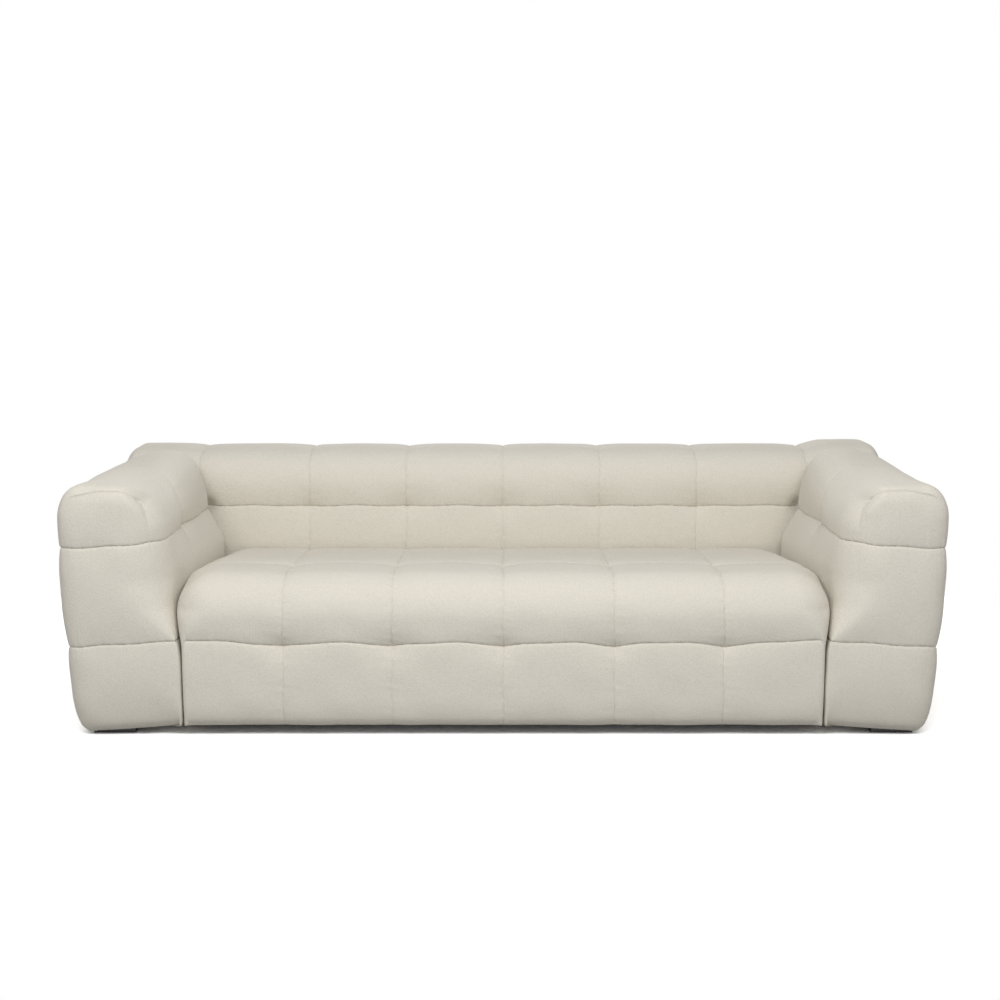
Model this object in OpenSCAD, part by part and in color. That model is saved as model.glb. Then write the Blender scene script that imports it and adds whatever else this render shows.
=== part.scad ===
// Three-seat sofa with padded, channelled arms, seat and back.
// Millimetres. Seen from the front: +X right, +Y to the rear, +Z up, floor at z = 0, origin under the middle.

/* [Overall] */
// Width over both arms
sofa_w = 2500; // [2300:10:2800]
// Depth from the front of the arms to the rear of the back
sofa_d = 1050; // [1000:10:1200]
// Gap between the floor and the underside of the frames
floor_gap = 36; // [30:1:50]

/* [Arms] */
// Width of each arm
arm_w = 350; // [330:5:400]
// Height of the arm's top roll
arm_h = 715; // [680:5:735]
// Height of the arm's lower channel seam
arm_low_seam_z = 268; // [220:2:300]
// Height of the arm's upper channel seam
arm_high_seam_z = 545; // [500:5:570]
// Distance from the arm's front to its cross seam
arm_cross_d = 455; // [400:5:480]
// Height of the arm's hem at its outer side
arm_hem_z = 10; // [8:1:20]
// Radius of the arm's rounded top
arm_roll_r = 96; // [80:2:110]
// How far the arm's inner face leans outwards from its foot to its top
arm_lean = 64; // [50:2:68]

/* [Back] */
// Height of the back's top roll
back_h = 740; // [720:5:800]
// Thickness of the back
back_t = 330; // [300:5:380]
// Height of the seam under the back's top roll
back_high_seam_z = 558; // [530:2:590]
// Height of the back's lower channel seam
back_low_seam_z = 268; // [240:2:300]
// Width of the back's end columns, behind the arms
corner_column_w = 272; // [240:2:300]
// Height of the back's hem
back_hem_z = 20; // [15:1:28]
// Radius of the back's rounded top
back_roll_r = 112; // [90:2:125]

/* [Seat] */
// Height of the seat's crown
seat_h = 456; // [430:2:480]
// Number of tufted columns between the arms, on the seat and the back
columns = 6; // [5:1:7]
// Distance from one upright seam to the next
column_w = 312; // [290:2:320]
// Height of the seam along the seat's front
border_seam_z = 258; // [230:2:290]
// Distance from the seat's front to the seam between its two rows
row_seam_d = 295; // [270:5:340]
// Radius of the seat's rounded front
seat_nose_r = 120; // [100:2:140]
// How far the seat's top falls from its middle seam to the back
seat_rake = 35; // [20:1:38]
// Number of zigzag springs under the seat
spring_count = 11; // [8:1:12]

/* [Upholstery] */
// Thickness of the quilted covers at their crowns
quilt_t = 50; // [46:1:56]
// How far a seam is drawn in below the crowns beside it
seam_sink = 15; // [10:1:18]
// How much further a tuft is drawn in where two seams cross
tuft_sink = 11; // [4:1:13]
// Thickness of the foam on the arm's sides
arm_side_foam_t = 25; // [20:1:32]
// Thickness of the foam on the arm's front
arm_front_foam_t = 20; // [15:1:40]
// Thickness of the foam on top of the arm
arm_top_foam_t = 64; // [62:1:80]
// Thickness of the foam on the front of the back
back_front_foam_t = 45; // [30:1:50]
// Thickness of the foam on the rear and ends of the back
back_rear_foam_t = 15; // [10:1:20]
// Thickness of the foam on top of the back
back_top_foam_t = 78; // [76:1:90]
// Thickness of the soft top layer of the seat foam
comfort_t = 94; // [92:1:110]
// Thickness of the foam on the seat's front rail
front_pad_t = 25; // [20:1:35]

/* [Frame] */
// Thickness of the plywood panels
ply_t = 18; // [15:1:21]
// Thickness of the solid wood rails
rail_t = 30; // [26:1:34]
// Height of the top of the seat rails above the floor
rail_top_z = 195; // [180:1:205]
// Height of the seat's stretchers from edge to edge
stretcher_h = 100; // [80:1:110]
// Number of plywood ribs in the back
rib_count = 6; // [5:1:7]
// Radius of the bolts that join the modules
bolt_r = 4; // [3:0.5:5]

/* [Feet] */
// Length of a foot along the sofa's width
foot_w = 118; // [90:2:130]
// Length of a foot along the sofa's depth
foot_d = 66; // [60:2:80]

/* [Hidden] */

// Colours of the finishes
boucle = [0.83, 0.81, 0.76];
foam_yellow = [0.93, 0.89, 0.74];
birch = [0.82, 0.68, 0.48];
pine = [0.87, 0.74, 0.52];
felt_grey = [0.45, 0.45, 0.44];
cloth_black = [0.06, 0.06, 0.06];
zinc = [0.72, 0.73, 0.75];
spring_grey = [0.45, 0.46, 0.48];

// Shape of the padding
crown_share = 0.34;       // below a half, so a channel is flat on top and steep at its seams
dimple_share = 1.6;       // how tightly a tuft's dimple gathers round its crossing
seat_steps = [5, 6, 4];   // places from one seam to the next, along x, y and z
back_steps = [4, 5, 4];
arm_steps = [8, 8, 6];

// Small parts and clearances
overrun = 2;              // how far a cut runs past the face it leaves
fabric_gap = 1;           // from a module's face to the plane where two modules meet
hole_gap = 0.4;           // round a bolt in wood
cover_hole_gap = 2;       // round a bolt in padding
touch_gap = 0.2;          // between a screw or wire and what holds it
cloth_t = 1.2;
felt_t = 4;
web_t = 1.5;
web_w = 70;
hardboard_t = 4;
joint_wall_t = 15;        // padding on a face that meets another module
seat_end_wall_t = 36;     // padding on the seat's two ends
end_roll_r = 70;          // rounding where the seat and the back end
joint_roll_r = 24;        // rounding on a face that meets another module
arm_nose_r = 78;          // rounding over the arm's front
crease_sink = 9;          // draw of the seam over the arm's front
crease_w = 60;
hem = [26, 80];           // how far a hem curls under, and from what height
arm_hem = [40, 110];
arm_taper = 22;           // how much closer in an arm's outer face is at its hem than at its top
arm_wall_t = 40;          // padding left on an arm's inner side at its top
hem_wall_t = 23;          // padding left beside an arm's hem
seat_bulge = 19;          // how far the seat's ends swell over the arms at the front
seat_tuck = 18;           // how far they draw back beside the back
seat_end_w = 280;         // how much of each end does so
seat_hem_lap = 4;         // how far the seat's hem hangs below its frame
arc_steps = 5;            // flats on a quarter round in the foam
round_fn = 24;

// Faces of the modules
front_y = -sofa_d / 2;
rear_y = sofa_d / 2;
joint_y = rear_y - back_t;                    // the seat and the arms meet the back here
arm_in_x = sofa_w / 2 - arm_w;                // the seat meets an arm here
under_z = floor_gap;                          // underside of the dust covers
frame_z = under_z + cloth_t;                  // underside of the frames
pad_front_y = front_y + quilt_t;              // inside of the front padding
pad_joint_y = joint_y - fabric_gap - joint_wall_t;

// Seat frame
seat_x = arm_in_x - fabric_gap - seat_end_wall_t;
seat_rail_x = seat_x - rail_t;                // inner faces of the side rails
seat_rail_y = pad_front_y + front_pad_t;      // front face of the front rail
seat_rear_rail_y = pad_joint_y - rail_t;      // inner face of the rear rail
seat_inner_d = seat_rear_rail_y - seat_rail_y - rail_t;
block_leg = 2.3 * rail_t;
stretcher_x = seat_x * 0.42;

// Springs
wire_t = 3.4;
plate_t = 1.5;
clip_w = 34;
clip_d = 22;
clip_y = seat_rail_y + rail_t / 2 - clip_d / 2;
clip_rear_y = seat_rear_rail_y + rail_t / 2 - clip_d / 2;
spring_z = rail_top_z + plate_t;
spring_top_z = spring_z + wire_t;
spring_w = 48;
spring_bars = 13;
bend_cut = 9;             // how far a spring's bend is cut across its corner
tie_shares = [0.25, 0.5, 0.75];
tie_w = 5;
tie_t = 2.4;
felt_top_z = spring_top_z + felt_t;
comfort_z = seat_h - quilt_t - comfort_t;

// Back frame
back_front_y = joint_y + fabric_gap;
back_pad_y = back_front_y + quilt_t;
back_pad_rear_y = rear_y - quilt_t;
back_pad_x = sofa_w / 2 - quilt_t;
web_y = back_pad_y + back_front_foam_t;       // front of the webbing
back_rail_y = web_y + 2 * web_t;              // front of the rails and ribs
back_frame_rear_y = back_pad_rear_y - back_rear_foam_t;
back_frame_x = back_pad_x - back_rear_foam_t;
back_top_z = back_h - quilt_t - back_top_foam_t;
back_rib_rear_y = back_frame_rear_y - hardboard_t;
back_floor_z = frame_z + ply_t;
top_rail_h = 2 * rail_t;
lumbar_h = 2 * rail_t;
lumbar_z = (seat_h + back_floor_z) / 2 + 2 * rail_t;
lower_rail_h = 2.6 * rail_t;
lower_rail_z = back_floor_z + ply_t;
web_gap = 3;

// Arm frame
arm_pad_in_x = arm_in_x + fabric_gap + arm_lean + arm_wall_t;
arm_pad_out_x = sofa_w / 2 - arm_taper - arm_hem[0] - hem_wall_t;
arm_frame_in_x = arm_pad_in_x + arm_side_foam_t;
arm_frame_out_x = arm_pad_out_x - arm_side_foam_t;
arm_frame_w = arm_frame_out_x - arm_frame_in_x;
arm_frame_y = pad_front_y + arm_front_foam_t;
arm_frame_d = pad_joint_y - arm_frame_y;
arm_frame_z = arm_h - quilt_t - arm_top_foam_t;
arm_floor_z = frame_z + ply_t;
arm_panel_h = arm_frame_z - ply_t - arm_floor_z;
arm_middle_x = (arm_frame_in_x + arm_frame_out_x) / 2;
spreader_count = 4;
arm_bay_d = (arm_frame_d - ply_t) / (spreader_count - 1);
window_share = 0.6;       // height of a panel's cut-out to the panel's height
window_r = 1.6 * ply_t;
spreader_hole_share = 0.2;  // radius of a spreader's hole to the frame's width

// Bolts
bolt_head_r = 2.2 * bolt_r;
bolt_head_t = 1.4 * bolt_r;
nut_wall = 1.6;
nut_barrel_r = bolt_r + nut_wall;
nut_barrel_l = 0.6 * ply_t;
nut_flange_r = 2.8 * bolt_r;
nut_flange_t = nut_wall;
bolt_spare = 1.5 * bolt_r;  // how far a bolt runs past its nut
bolt_z = frame_z + lower_rail_h;
side_bolt_off = 20;       // from a spreader's face to a bolt beside it
side_bolt_ys = [
    arm_frame_y + arm_bay_d - side_bolt_off,
    arm_frame_y + arm_bay_d * (spreader_count - 2) + ply_t + side_bolt_off
];
seat_back_bolt_xs = [-column_w * 1.5, 0, column_w * 1.5];
back_bolt_xs = concat(seat_back_bolt_xs, [-arm_middle_x, arm_middle_x]);

// Feet
foot_set_back = 58;
foot_front_y = front_y + foot_set_back;
foot_rear_y = back_frame_rear_y - foot_d;
seat_foot_y = -sofa_d / 8;
foot_x = arm_pad_out_x - fabric_gap - foot_w;
foot_middle_x = foot_x + foot_w / 2;
screw_r = 2;
screw_head_r = 4.5;
screw_head_t = 3;
foot_roof_t = 8;
recess_r = 8;
screw_reach = 0.8 * ply_t;
screw_inset = 14;
screw_off = foot_d / 2 - screw_inset;

// The padded forms

// Which channel c is in: the number of the seam below it
function channel(c, seams) = max([for (k = [0 : len(seams) - 2]) if (k == 0 || c >= seams[k]) k]);

// Height of a channel's padding at c: 0 on a seam and 1 midway between two seams
function crown(c, seams) =
    let (
        i = channel(c, seams),
        t = min(max((c - seams[i]) / (seams[i + 1] - seams[i]), 0), 1)
    )
    pow(4 * t * (1 - t), crown_share);

// Seams of a face that runs on round a corner at both ends, where the padding is full
function open_seams(from, seams, to) =
    concat([2 * from - seams[0]], seams, [2 * to - seams[len(seams) - 1]]);

// n places from a up to b, closer together near both ends, without b
function spread(a, b, n) = [for (i = [0 : n - 1]) a + (b - a) * (0.5 - 0.5 * cos(180 * i / n))];

// Places along a run of knots, n between each pair, with the last knot
function stations(knots, n) =
    concat([for (k = [0 : len(knots) - 2]) each spread(knots[k], knots[k + 1], n)], [knots[len(knots) - 1]]);

// A point of the box lo..hi brought in onto rounded edges: [point, outward direction]
function rounded(p, lo, hi, r_lo, r_hi) =
    let (
        q = [
            min(max(p.x, lo.x + r_lo.x), hi.x - r_hi.x),
            min(max(p.y, lo.y + r_lo.y), hi.y - r_hi.y),
            min(p.z, hi.z - r_hi.z)
        ],
        r = [p.x < q.x ? r_lo.x : r_hi.x, p.y < q.y ? r_lo.y : r_hi.y, r_hi.z],
        d = [(p.x - q.x) / r.x, (p.y - q.y) / r.y, (p.z - q.z) / r.z],
        n = d / norm(d)
    )
    [[q.x + n.x * r.x, q.y + n.y * r.y, q.z + n.z * r.z], n];

// How far a hem curls in at height z above it
function hem_curl(z, under) = under[0] * (1 - sqrt(1 - pow(1 - min(z / under[1], 1), 2)));

// One point of a padded form. seams has lists of x, y and z places, and joints the ways in which it meets
// other modules, where its padding is flat
function padded(p, lo, hi, r_lo, r_hi, seams, joints, crease, under) =
    let (
        at = rounded(p, lo, hi, r_lo, r_hi),
        n = at[1],
        full = 1 - max([0, for (way = joints) pow(max(n * way, 0), 2)]),
        low = [for (i = [0 : 2]) 1 - crown(p[i], seams[i])],
        // a seam isn't seen on the face that it runs level with
        mark = [for (i = [0 : 2]) low[i] * (1 - n[i] * n[i])],
        tuft = [for (i = [0 : 2]) pow(low[i], dimple_share) * (1 - n[i] * n[i])],
        cross = max(tuft.x * tuft.y, tuft.y * tuft.z, tuft.x * tuft.z),
        from_edge = p.x - lo.x + hi.z - p.z,
        fold = crease * pow(max(1 - from_edge / crease_w, 0), 2),
        draw = full * (seam_sink * max(mark) + tuft_sink * cross + fold),
        flat = norm([n.x, n.y]),
        curl = flat > 0 ? [n.x, n.y, 0] / flat * hem_curl(p.z - lo.z, under) * full : [0, 0, 0]
    )
    at[0] - n * draw - curl;

// A padded block: a ring of points up the front, over the top and down the rear at each place in xs,
// and a grid over each end. lean moves each point last
module padded_block(lo, hi, r_lo, r_hi, xs, ys, zs, seams, joints, lean, crease = 0, under = hem) {
    n_x = len(xs) - 1;
    n_y = len(ys) - 1;
    n_z = len(zs) - 1;
    ring = 2 * n_z + n_y + 1;
    end_grid = n_z * (n_y - 1);
    function at(i, j, k) =
        lean(padded([xs[i], ys[j], zs[k]], lo, hi, r_lo, r_hi, seams, joints, crease, under));
    function ring_at(i, a) =
        a <= n_z ? at(i, 0, a) : a <= n_z + n_y ? at(i, a - n_z, n_z) : at(i, n_y, ring - 1 - a);
    points = concat(
        [for (i = [0 : n_x], a = [0 : ring - 1]) ring_at(i, a)],
        [for (k = [0 : n_z - 1], j = [1 : n_y - 1]) at(0, j, k)],
        [for (k = [0 : n_z - 1], j = [1 : n_y - 1]) at(n_x, j, k)]
    );
    function end_point(far, j, k) =
        let (i = far ? n_x : 0)
        j == 0 ? i * ring + k
            : j == n_y ? i * ring + ring - 1 - k
            : k == n_z ? i * ring + n_z + j
            : (n_x + 1) * ring + (far ? end_grid : 0) + k * (n_y - 1) + j - 1;
    function two(a, b, c, d) = [[a, b, c], [a, c, d]];
    skin = [for (i = [0 : n_x - 1], a = [0 : ring - 2])
        each two(i * ring + a, i * ring + a + 1, (i + 1) * ring + a + 1, (i + 1) * ring + a)];
    near_end = [for (j = [0 : n_y - 1], k = [0 : n_z - 1])
        each two(end_point(false, j, k), end_point(false, j + 1, k),
            end_point(false, j + 1, k + 1), end_point(false, j, k + 1))];
    far_end = [for (j = [0 : n_y - 1], k = [0 : n_z - 1])
        each two(end_point(true, j, k), end_point(true, j, k + 1),
            end_point(true, j + 1, k + 1), end_point(true, j + 1, k))];
    // flat strips from front to rear, and a fan at each end
    strips = [for (i = [0 : n_x - 1])
        each two(i * ring, (i + 1) * ring, (i + 1) * ring + ring - 1, i * ring + ring - 1)];
    near_fan = [for (j = [1 : n_y - 1]) [0, end_point(false, j + 1, 0), end_point(false, j, 0)]];
    far_fan = [for (j = [1 : n_y - 1]) [n_x * ring, end_point(true, j, 0), end_point(true, j + 1, 0)]];
    polyhedron(
        points = points,
        faces = concat(skin, near_end, far_end, strips, near_fan, far_fan),
        convexity = 8
    );
}

// Outline of a block with quarter rounds at its two top corners, each given as [across, down]
function crown_outline(a, b, z0, z1, r_a, r_b) =
    concat(
        [[a, z0], [b, z0]],
        [for (i = [0 : arc_steps]) let (w = 90 * i / arc_steps)
            [b - r_b.x + r_b.x * cos(w), z1 - r_b.y + r_b.y * sin(w)]],
        [for (i = [0 : arc_steps]) let (w = 90 + 90 * i / arc_steps)
            [a + r_a.x + r_a.x * cos(w), z1 - r_a.y + r_a.y * sin(w)]]
    );

// Outlines in depth and height, run along the width from x0 to x1
module across(x0, x1) {
    translate([x0, 0, 0])
        rotate([90, 0, 90])
            linear_extrude(x1 - x0)
                children();
}

// Outlines in width and height, run along the depth from y0 to y1
module along(y0, y1) {
    translate([0, y1, 0])
        rotate([90, 0, 0])
            linear_extrude(y1 - y0)
                children();
}

module box(lo, hi) {
    translate(lo)
        cube(hi - lo);
}

module hole_y(x, y0, y1, z, r) {
    translate([x, y0, z])
        rotate([-90, 0, 0])
            cylinder(r = r, h = y1 - y0, $fn = round_fn);
}

module hole_x(x0, x1, y, z, r) {
    translate([x0, y, z])
        rotate([0, 90, 0])
            cylinder(r = r, h = x1 - x0, $fn = round_fn);
}

module mirrored() {
    mirror([1, 0, 0])
        children();
}

// Seat

seat_seams_x = [for (k = [1 : columns - 1]) column_w * (k - columns / 2)];
seat_x_end = arm_in_x - fabric_gap;

row_seam_y = front_y + row_seam_d;
seat_bulge_z = (border_seam_z + seat_h) / 2;
seat_front_lean = [[border_seam_z, 0], [seat_bulge_z, seat_bulge]];
seat_rear_lean = [[border_seam_z, 0], [seat_bulge_z, -seat_tuck]];

// How far back a place lies, from 0 on the front to 1 where the seat and the arms meet the back
function back_share(y) = (y - front_y) / (joint_y - front_y);

// Lean at height z and depth y, between the tables of the front and the rear
function lean_between(front, rear, z, y) =
    lookup(z, front) * (1 - back_share(y)) + lookup(z, rear) * back_share(y);

// The seat's ends swell over the arms, and its top falls to the back
seat_lean = function (p)
    let (
        ends = pow(max(abs(p.x) - seat_x_end + seat_end_w, 0) / seat_end_w, 2),
        out = lean_between(seat_front_lean, seat_rear_lean, p.z, p.y),
        fall = max(p.y - row_seam_y, 0) / (joint_y - row_seam_y),
        top = max(p.z - border_seam_z, 0) / (seat_h - border_seam_z)
    )
    [p.x + sign(p.x) * ends * out, p.y, p.z - seat_rake * fall * top];

// Inside of the seat's padding, from height z0 up, lower at the back
module seat_space(x, z0, z1) {
    r = seat_nose_r - quilt_t;
    outline = crown_outline(pad_front_y, pad_joint_y, z0, z1, [r, r], [touch_gap, touch_gap]);
    across(-x, x)
        polygon([for (p = outline) p.x > row_seam_y && p.y > comfort_z ? p - [0, seat_rake] : p]);
}

module seat_cover() {
    lo = [-seat_x_end, front_y, floor_gap - seat_hem_lap];
    hi = [seat_x_end, joint_y - fabric_gap, seat_h];
    color(boucle)
        difference() {
            padded_block(
                lo, hi, [end_roll_r, seat_nose_r], [end_roll_r, joint_roll_r, seat_nose_r],
                stations(concat([lo.x], seat_seams_x, [hi.x]), seat_steps.x),
                stations([lo.y, row_seam_y, hi.y], seat_steps.y),
                stations([lo.z, border_seam_z, hi.z], seat_steps.z),
                [
                    open_seams(lo.x, seat_seams_x, hi.x),
                    open_seams(lo.y, [row_seam_y], hi.y),
                    open_seams(lo.z, [border_seam_z], hi.z)
                ],
                [[-1, 0, 0], [1, 0, 0], [0, 1, 0]],
                seat_lean
            );
            seat_space(seat_x, 0, seat_h - quilt_t);
            for (x = seat_back_bolt_xs)
                hole_y(x, pad_joint_y - overrun, joint_y + overrun, bolt_z, bolt_r + cover_hole_gap);
            for (side = [0, 1], y = side_bolt_ys)
                mirror([side, 0, 0])
                    hole_x(seat_x - overrun, arm_in_x + overrun, y, bolt_z, bolt_r + cover_hole_gap);
        }
}

module seat_comfort_foam() {
    color(foam_yellow)
        seat_space(seat_x, comfort_z, seat_h - quilt_t);
}

module seat_core_foam() {
    color(foam_yellow)
        difference() {
            box([-seat_x, pad_front_y, rail_top_z], [seat_x, pad_joint_y, comfort_z]);
            // the springs, their clips and the felt lie in this hollow
            box(
                [-seat_rail_x, seat_rail_y, rail_top_z - overrun],
                [seat_rail_x, pad_joint_y + overrun, felt_top_z]
            );
        }
}

module seat_felt() {
    color(felt_grey)
        box(
            [-seat_rail_x, clip_y + clip_d, spring_top_z],
            [seat_rail_x, clip_rear_y, felt_top_z]
        );
}

spring_pitch = 2 * seat_rail_x / spring_count;
spring_xs = [for (i = [0 : spring_count - 1]) -seat_rail_x + spring_pitch * (i + 0.5)];
spring_y0 = clip_y + clip_d / 2;
spring_bar_pitch = (clip_rear_y + clip_d / 2 - spring_y0) / (spring_bars - 1);

// The bent wire's middle line: bars across, joined by a bend at alternate ends
spring_line = [
    for (k = [0 : spring_bars - 1])
        let (
            out = k % 2 == 0 ? 1 : -1,
            x = out * spring_w / 2,
            y = spring_y0 + k * spring_bar_pitch,
            start = k == 0 ? [[-x, y]] : [[-x, y - bend_cut], [-x + out * bend_cut, y]],
            end = k == spring_bars - 1 ? [[x, y]] : [[x - out * bend_cut, y], [x, y + bend_cut]]
        )
        each concat(start, end)
];

// Unit direction to the left of the line's stretch i
function left_of(line, i) =
    let (
        k = min(max(i, 0), len(line) - 2),
        d = (line[k + 1] - line[k]) / norm(line[k + 1] - line[k])
    )
    [-d.y, d.x];

// The line moved sideways by w, with its corners mitred
function beside(line, w) = [
    for (i = [0 : len(line) - 1])
        let (a = left_of(line, i - 1), b = left_of(line, i))
        line[i] + w * (a + b) / (1 + a * b)
];

function turned_round(list) = [for (i = [len(list) - 1 : -1 : 0]) list[i]];

module seat_springs() {
    right_side = beside(spring_line, wire_t / 2);
    left_side = beside(spring_line, -wire_t / 2);
    color(spring_grey)
        for (x = spring_xs)
            translate([x, 0, spring_z])
                linear_extrude(wire_t)
                    polygon(concat(right_side, turned_round(left_side)));
}

// A folded plate nailed to a rail, open towards the seat's middle
module spring_clip(y, open_to_rear) {
    middle = y + clip_d / 2;
    slot = open_to_rear ? [middle - wire_t, y + clip_d + overrun] : [y - overrun, middle + wire_t];
    difference() {
        box([-clip_w / 2, y, rail_top_z], [clip_w / 2, y + clip_d, spring_top_z + touch_gap + plate_t]);
        box(
            [-clip_w / 2 - overrun, slot[0], spring_z],
            [clip_w / 2 + overrun, slot[1], spring_top_z + touch_gap]
        );
    }
}

module spring_clips() {
    color(zinc)
        for (x = spring_xs)
            translate([x, 0, 0]) {
                spring_clip(clip_y, true);
                spring_clip(clip_rear_y, false);
            }
}

module spring_tie_wires() {
    color(spring_grey)
        for (part = tie_shares)
            translate([-seat_rail_x, seat_rail_y + rail_t + seat_inner_d * part, spring_z - tie_t])
                cube([2 * seat_rail_x, tie_w, tie_t]);
}

module seat_front_rail() {
    color(pine)
        box([-seat_rail_x, seat_rail_y, frame_z], [seat_rail_x, seat_rail_y + rail_t, rail_top_z]);
}

module seat_rear_rail() {
    color(pine)
        difference() {
            box([-seat_rail_x, seat_rear_rail_y, frame_z], [seat_rail_x, pad_joint_y, rail_top_z]);
            for (x = seat_back_bolt_xs)
                hole_y(x, seat_rear_rail_y - overrun, pad_joint_y + overrun, bolt_z, bolt_r + hole_gap);
        }
}

module seat_right_rail() {
    color(pine)
        difference() {
            box([seat_rail_x, seat_rail_y, frame_z], [seat_x, pad_joint_y, rail_top_z]);
            for (y = side_bolt_ys)
                hole_x(seat_rail_x - overrun, seat_x + overrun, y, bolt_z, bolt_r + hole_gap);
        }
}

module seat_left_rail() {
    color(pine)
        mirrored()
            seat_right_rail();
}

module seat_stretchers() {
    color(pine)
        for (x = [-stretcher_x, stretcher_x])
            difference() {
                box(
                    [x - rail_t / 2, seat_rail_y + rail_t, frame_z],
                    [x + rail_t / 2, seat_rear_rail_y, frame_z + stretcher_h]
                );
                screw_holes(x - foot_w / 2, seat_foot_y, screw_r + touch_gap);
            }
}

module corner_block(x, y, turn) {
    translate([x, y, frame_z + ply_t])
        rotate([0, 0, turn])
            linear_extrude(stretcher_h)
                polygon([[0, 0], [block_leg, 0], [0, block_leg]]);
}

module seat_corner_blocks() {
    color(pine) {
        corner_block(-seat_rail_x, seat_rail_y + rail_t, 0);
        corner_block(seat_rail_x, seat_rail_y + rail_t, 90);
        corner_block(seat_rail_x, seat_rear_rail_y, 180);
        corner_block(-seat_rail_x, seat_rear_rail_y, 270);
    }
}

module seat_front_pad() {
    color(foam_yellow)
        box([-seat_x, pad_front_y, frame_z], [seat_x, seat_rail_y, rail_top_z]);
}

module seat_dust_cover() {
    color(cloth_black)
        difference() {
            box([-seat_x, pad_front_y, under_z], [seat_x, pad_joint_y, frame_z]);
            for (x = [-stretcher_x, stretcher_x])
                screw_holes(x - foot_w / 2, seat_foot_y, screw_r + hole_gap);
        }
}

// Back

back_seams_x = concat([-sofa_w / 2 + corner_column_w], seat_seams_x, [sofa_w / 2 - corner_column_w]);

// Inside of the back's padding, from height z0 up
module back_space(z0) {
    r = back_roll_r - quilt_t;
    across(-back_pad_x, back_pad_x)
        polygon(crown_outline(back_pad_y, back_pad_rear_y, z0, back_h - quilt_t, [r, r], [r, r]));
}

module back_cover() {
    lo = [-sofa_w / 2, back_front_y, back_hem_z];
    hi = [sofa_w / 2, rear_y, back_h];
    color(boucle)
        difference() {
            padded_block(
                lo, hi, [end_roll_r, back_roll_r], [end_roll_r, back_roll_r, back_roll_r],
                stations(concat([lo.x], back_seams_x, [hi.x]), back_steps.x),
                stations([lo.y, hi.y], back_steps.y),
                stations([lo.z, back_low_seam_z, back_high_seam_z, hi.z], back_steps.z),
                [
                    open_seams(lo.x, back_seams_x, hi.x),
                    [2 * lo.y - hi.y, 2 * hi.y - lo.y],
                    open_seams(lo.z, [back_low_seam_z, back_high_seam_z], hi.z)
                ],
                [],
                function (p) p
            );
            back_space(0);
            back_bolt_holes(joint_y - overrun, back_pad_y + overrun, cover_hole_gap);
        }
}

module back_bolt_holes(y0, y1, gap) {
    for (x = back_bolt_xs)
        hole_y(x, y0, y1, bolt_z, bolt_r + gap);
}

module back_front_foam() {
    color(foam_yellow)
        difference() {
            box([-back_pad_x, back_pad_y, frame_z], [back_pad_x, web_y, back_top_z]);
            back_bolt_holes(back_pad_y - overrun, web_y + overrun, cover_hole_gap);
        }
}

module back_rear_foam() {
    color(foam_yellow)
        box([-back_pad_x, back_frame_rear_y, frame_z], [back_pad_x, back_pad_rear_y, back_top_z]);
}

module back_top_foam() {
    color(foam_yellow)
        back_space(back_top_z);
}

module back_end_pads() {
    color(foam_yellow)
        for (side = [0, 1])
            mirror([side, 0, 0])
                box([back_frame_x, web_y, frame_z], [back_pad_x, back_frame_rear_y, back_top_z]);
}

module back_base_board() {
    color(birch)
        difference() {
            box([-back_frame_x, back_rail_y, frame_z], [back_frame_x, back_frame_rear_y, back_floor_z]);
            for (x = [-foot_middle_x, 0, foot_middle_x])
                screw_holes(x - foot_w / 2, foot_rear_y, screw_r + touch_gap);
        }
}

module back_rail(z, h) {
    box([-back_frame_x, back_rail_y, z], [back_frame_x, back_rail_y + rail_t, z + h]);
}

module back_top_rail() {
    color(pine)
        back_rail(back_top_z - top_rail_h, top_rail_h);
}

module back_lumbar_rail() {
    color(pine)
        back_rail(lumbar_z, lumbar_h);
}

module back_lower_rail() {
    color(pine)
        difference() {
            back_rail(lower_rail_z, lower_rail_h);
            back_bolt_holes(back_rail_y - overrun, back_rail_y + rail_t + overrun, hole_gap);
            for (x = back_bolt_xs)
                hole_y(
                    x, back_rail_y + rail_t - nut_barrel_l - touch_gap, back_rail_y + rail_t + overrun,
                    bolt_z, nut_barrel_r + touch_gap
                );
        }
}

back_rib_pitch = (2 * back_frame_x - ply_t) / (rib_count - 1);

// Outline of a rib in depth and height, notched for the three rails
module rib_outline() {
    top_rail_z = back_top_z - top_rail_h;
    notches = [[lower_rail_z, lower_rail_h], [lumbar_z, lumbar_h], [top_rail_z, top_rail_h + overrun]];
    // holes that lighten the rib
    hole_zs = [(lower_rail_z + lower_rail_h + lumbar_z) / 2, (lumbar_z + lumbar_h + top_rail_z) / 2];
    difference() {
        translate([back_rail_y, back_floor_z])
            square([back_rib_rear_y - back_rail_y, back_top_z - back_floor_z]);
        for (notch = notches)
            translate([back_rail_y - overrun, notch[0]])
                square([rail_t + overrun, notch[1]]);
        for (z = hole_zs)
            translate([(back_rail_y + back_rib_rear_y) / 2, z])
                circle(r = rail_t, $fn = round_fn);
    }
}

module back_ribs() {
    color(birch)
        for (i = [0 : rib_count - 1])
            across(-back_frame_x + back_rib_pitch * i, -back_frame_x + back_rib_pitch * i + ply_t)
                rib_outline();
}

module back_rear_panel() {
    color(birch)
        box([-back_frame_x, back_rib_rear_y, back_floor_z], [back_frame_x, back_frame_rear_y, back_top_z]);
}

module back_webbing_upright() {
    per_bay = 2;
    bay = back_rib_pitch / per_bay;
    color(cloth_black)
        for (i = [0 : (rib_count - 1) * per_bay - 1])
            translate([-back_frame_x + ply_t / 2 + bay * (i + 0.5) - web_w / 2, web_y + web_t, lumbar_z])
                cube([web_w, web_t, back_top_z - lumbar_z]);
}

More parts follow.
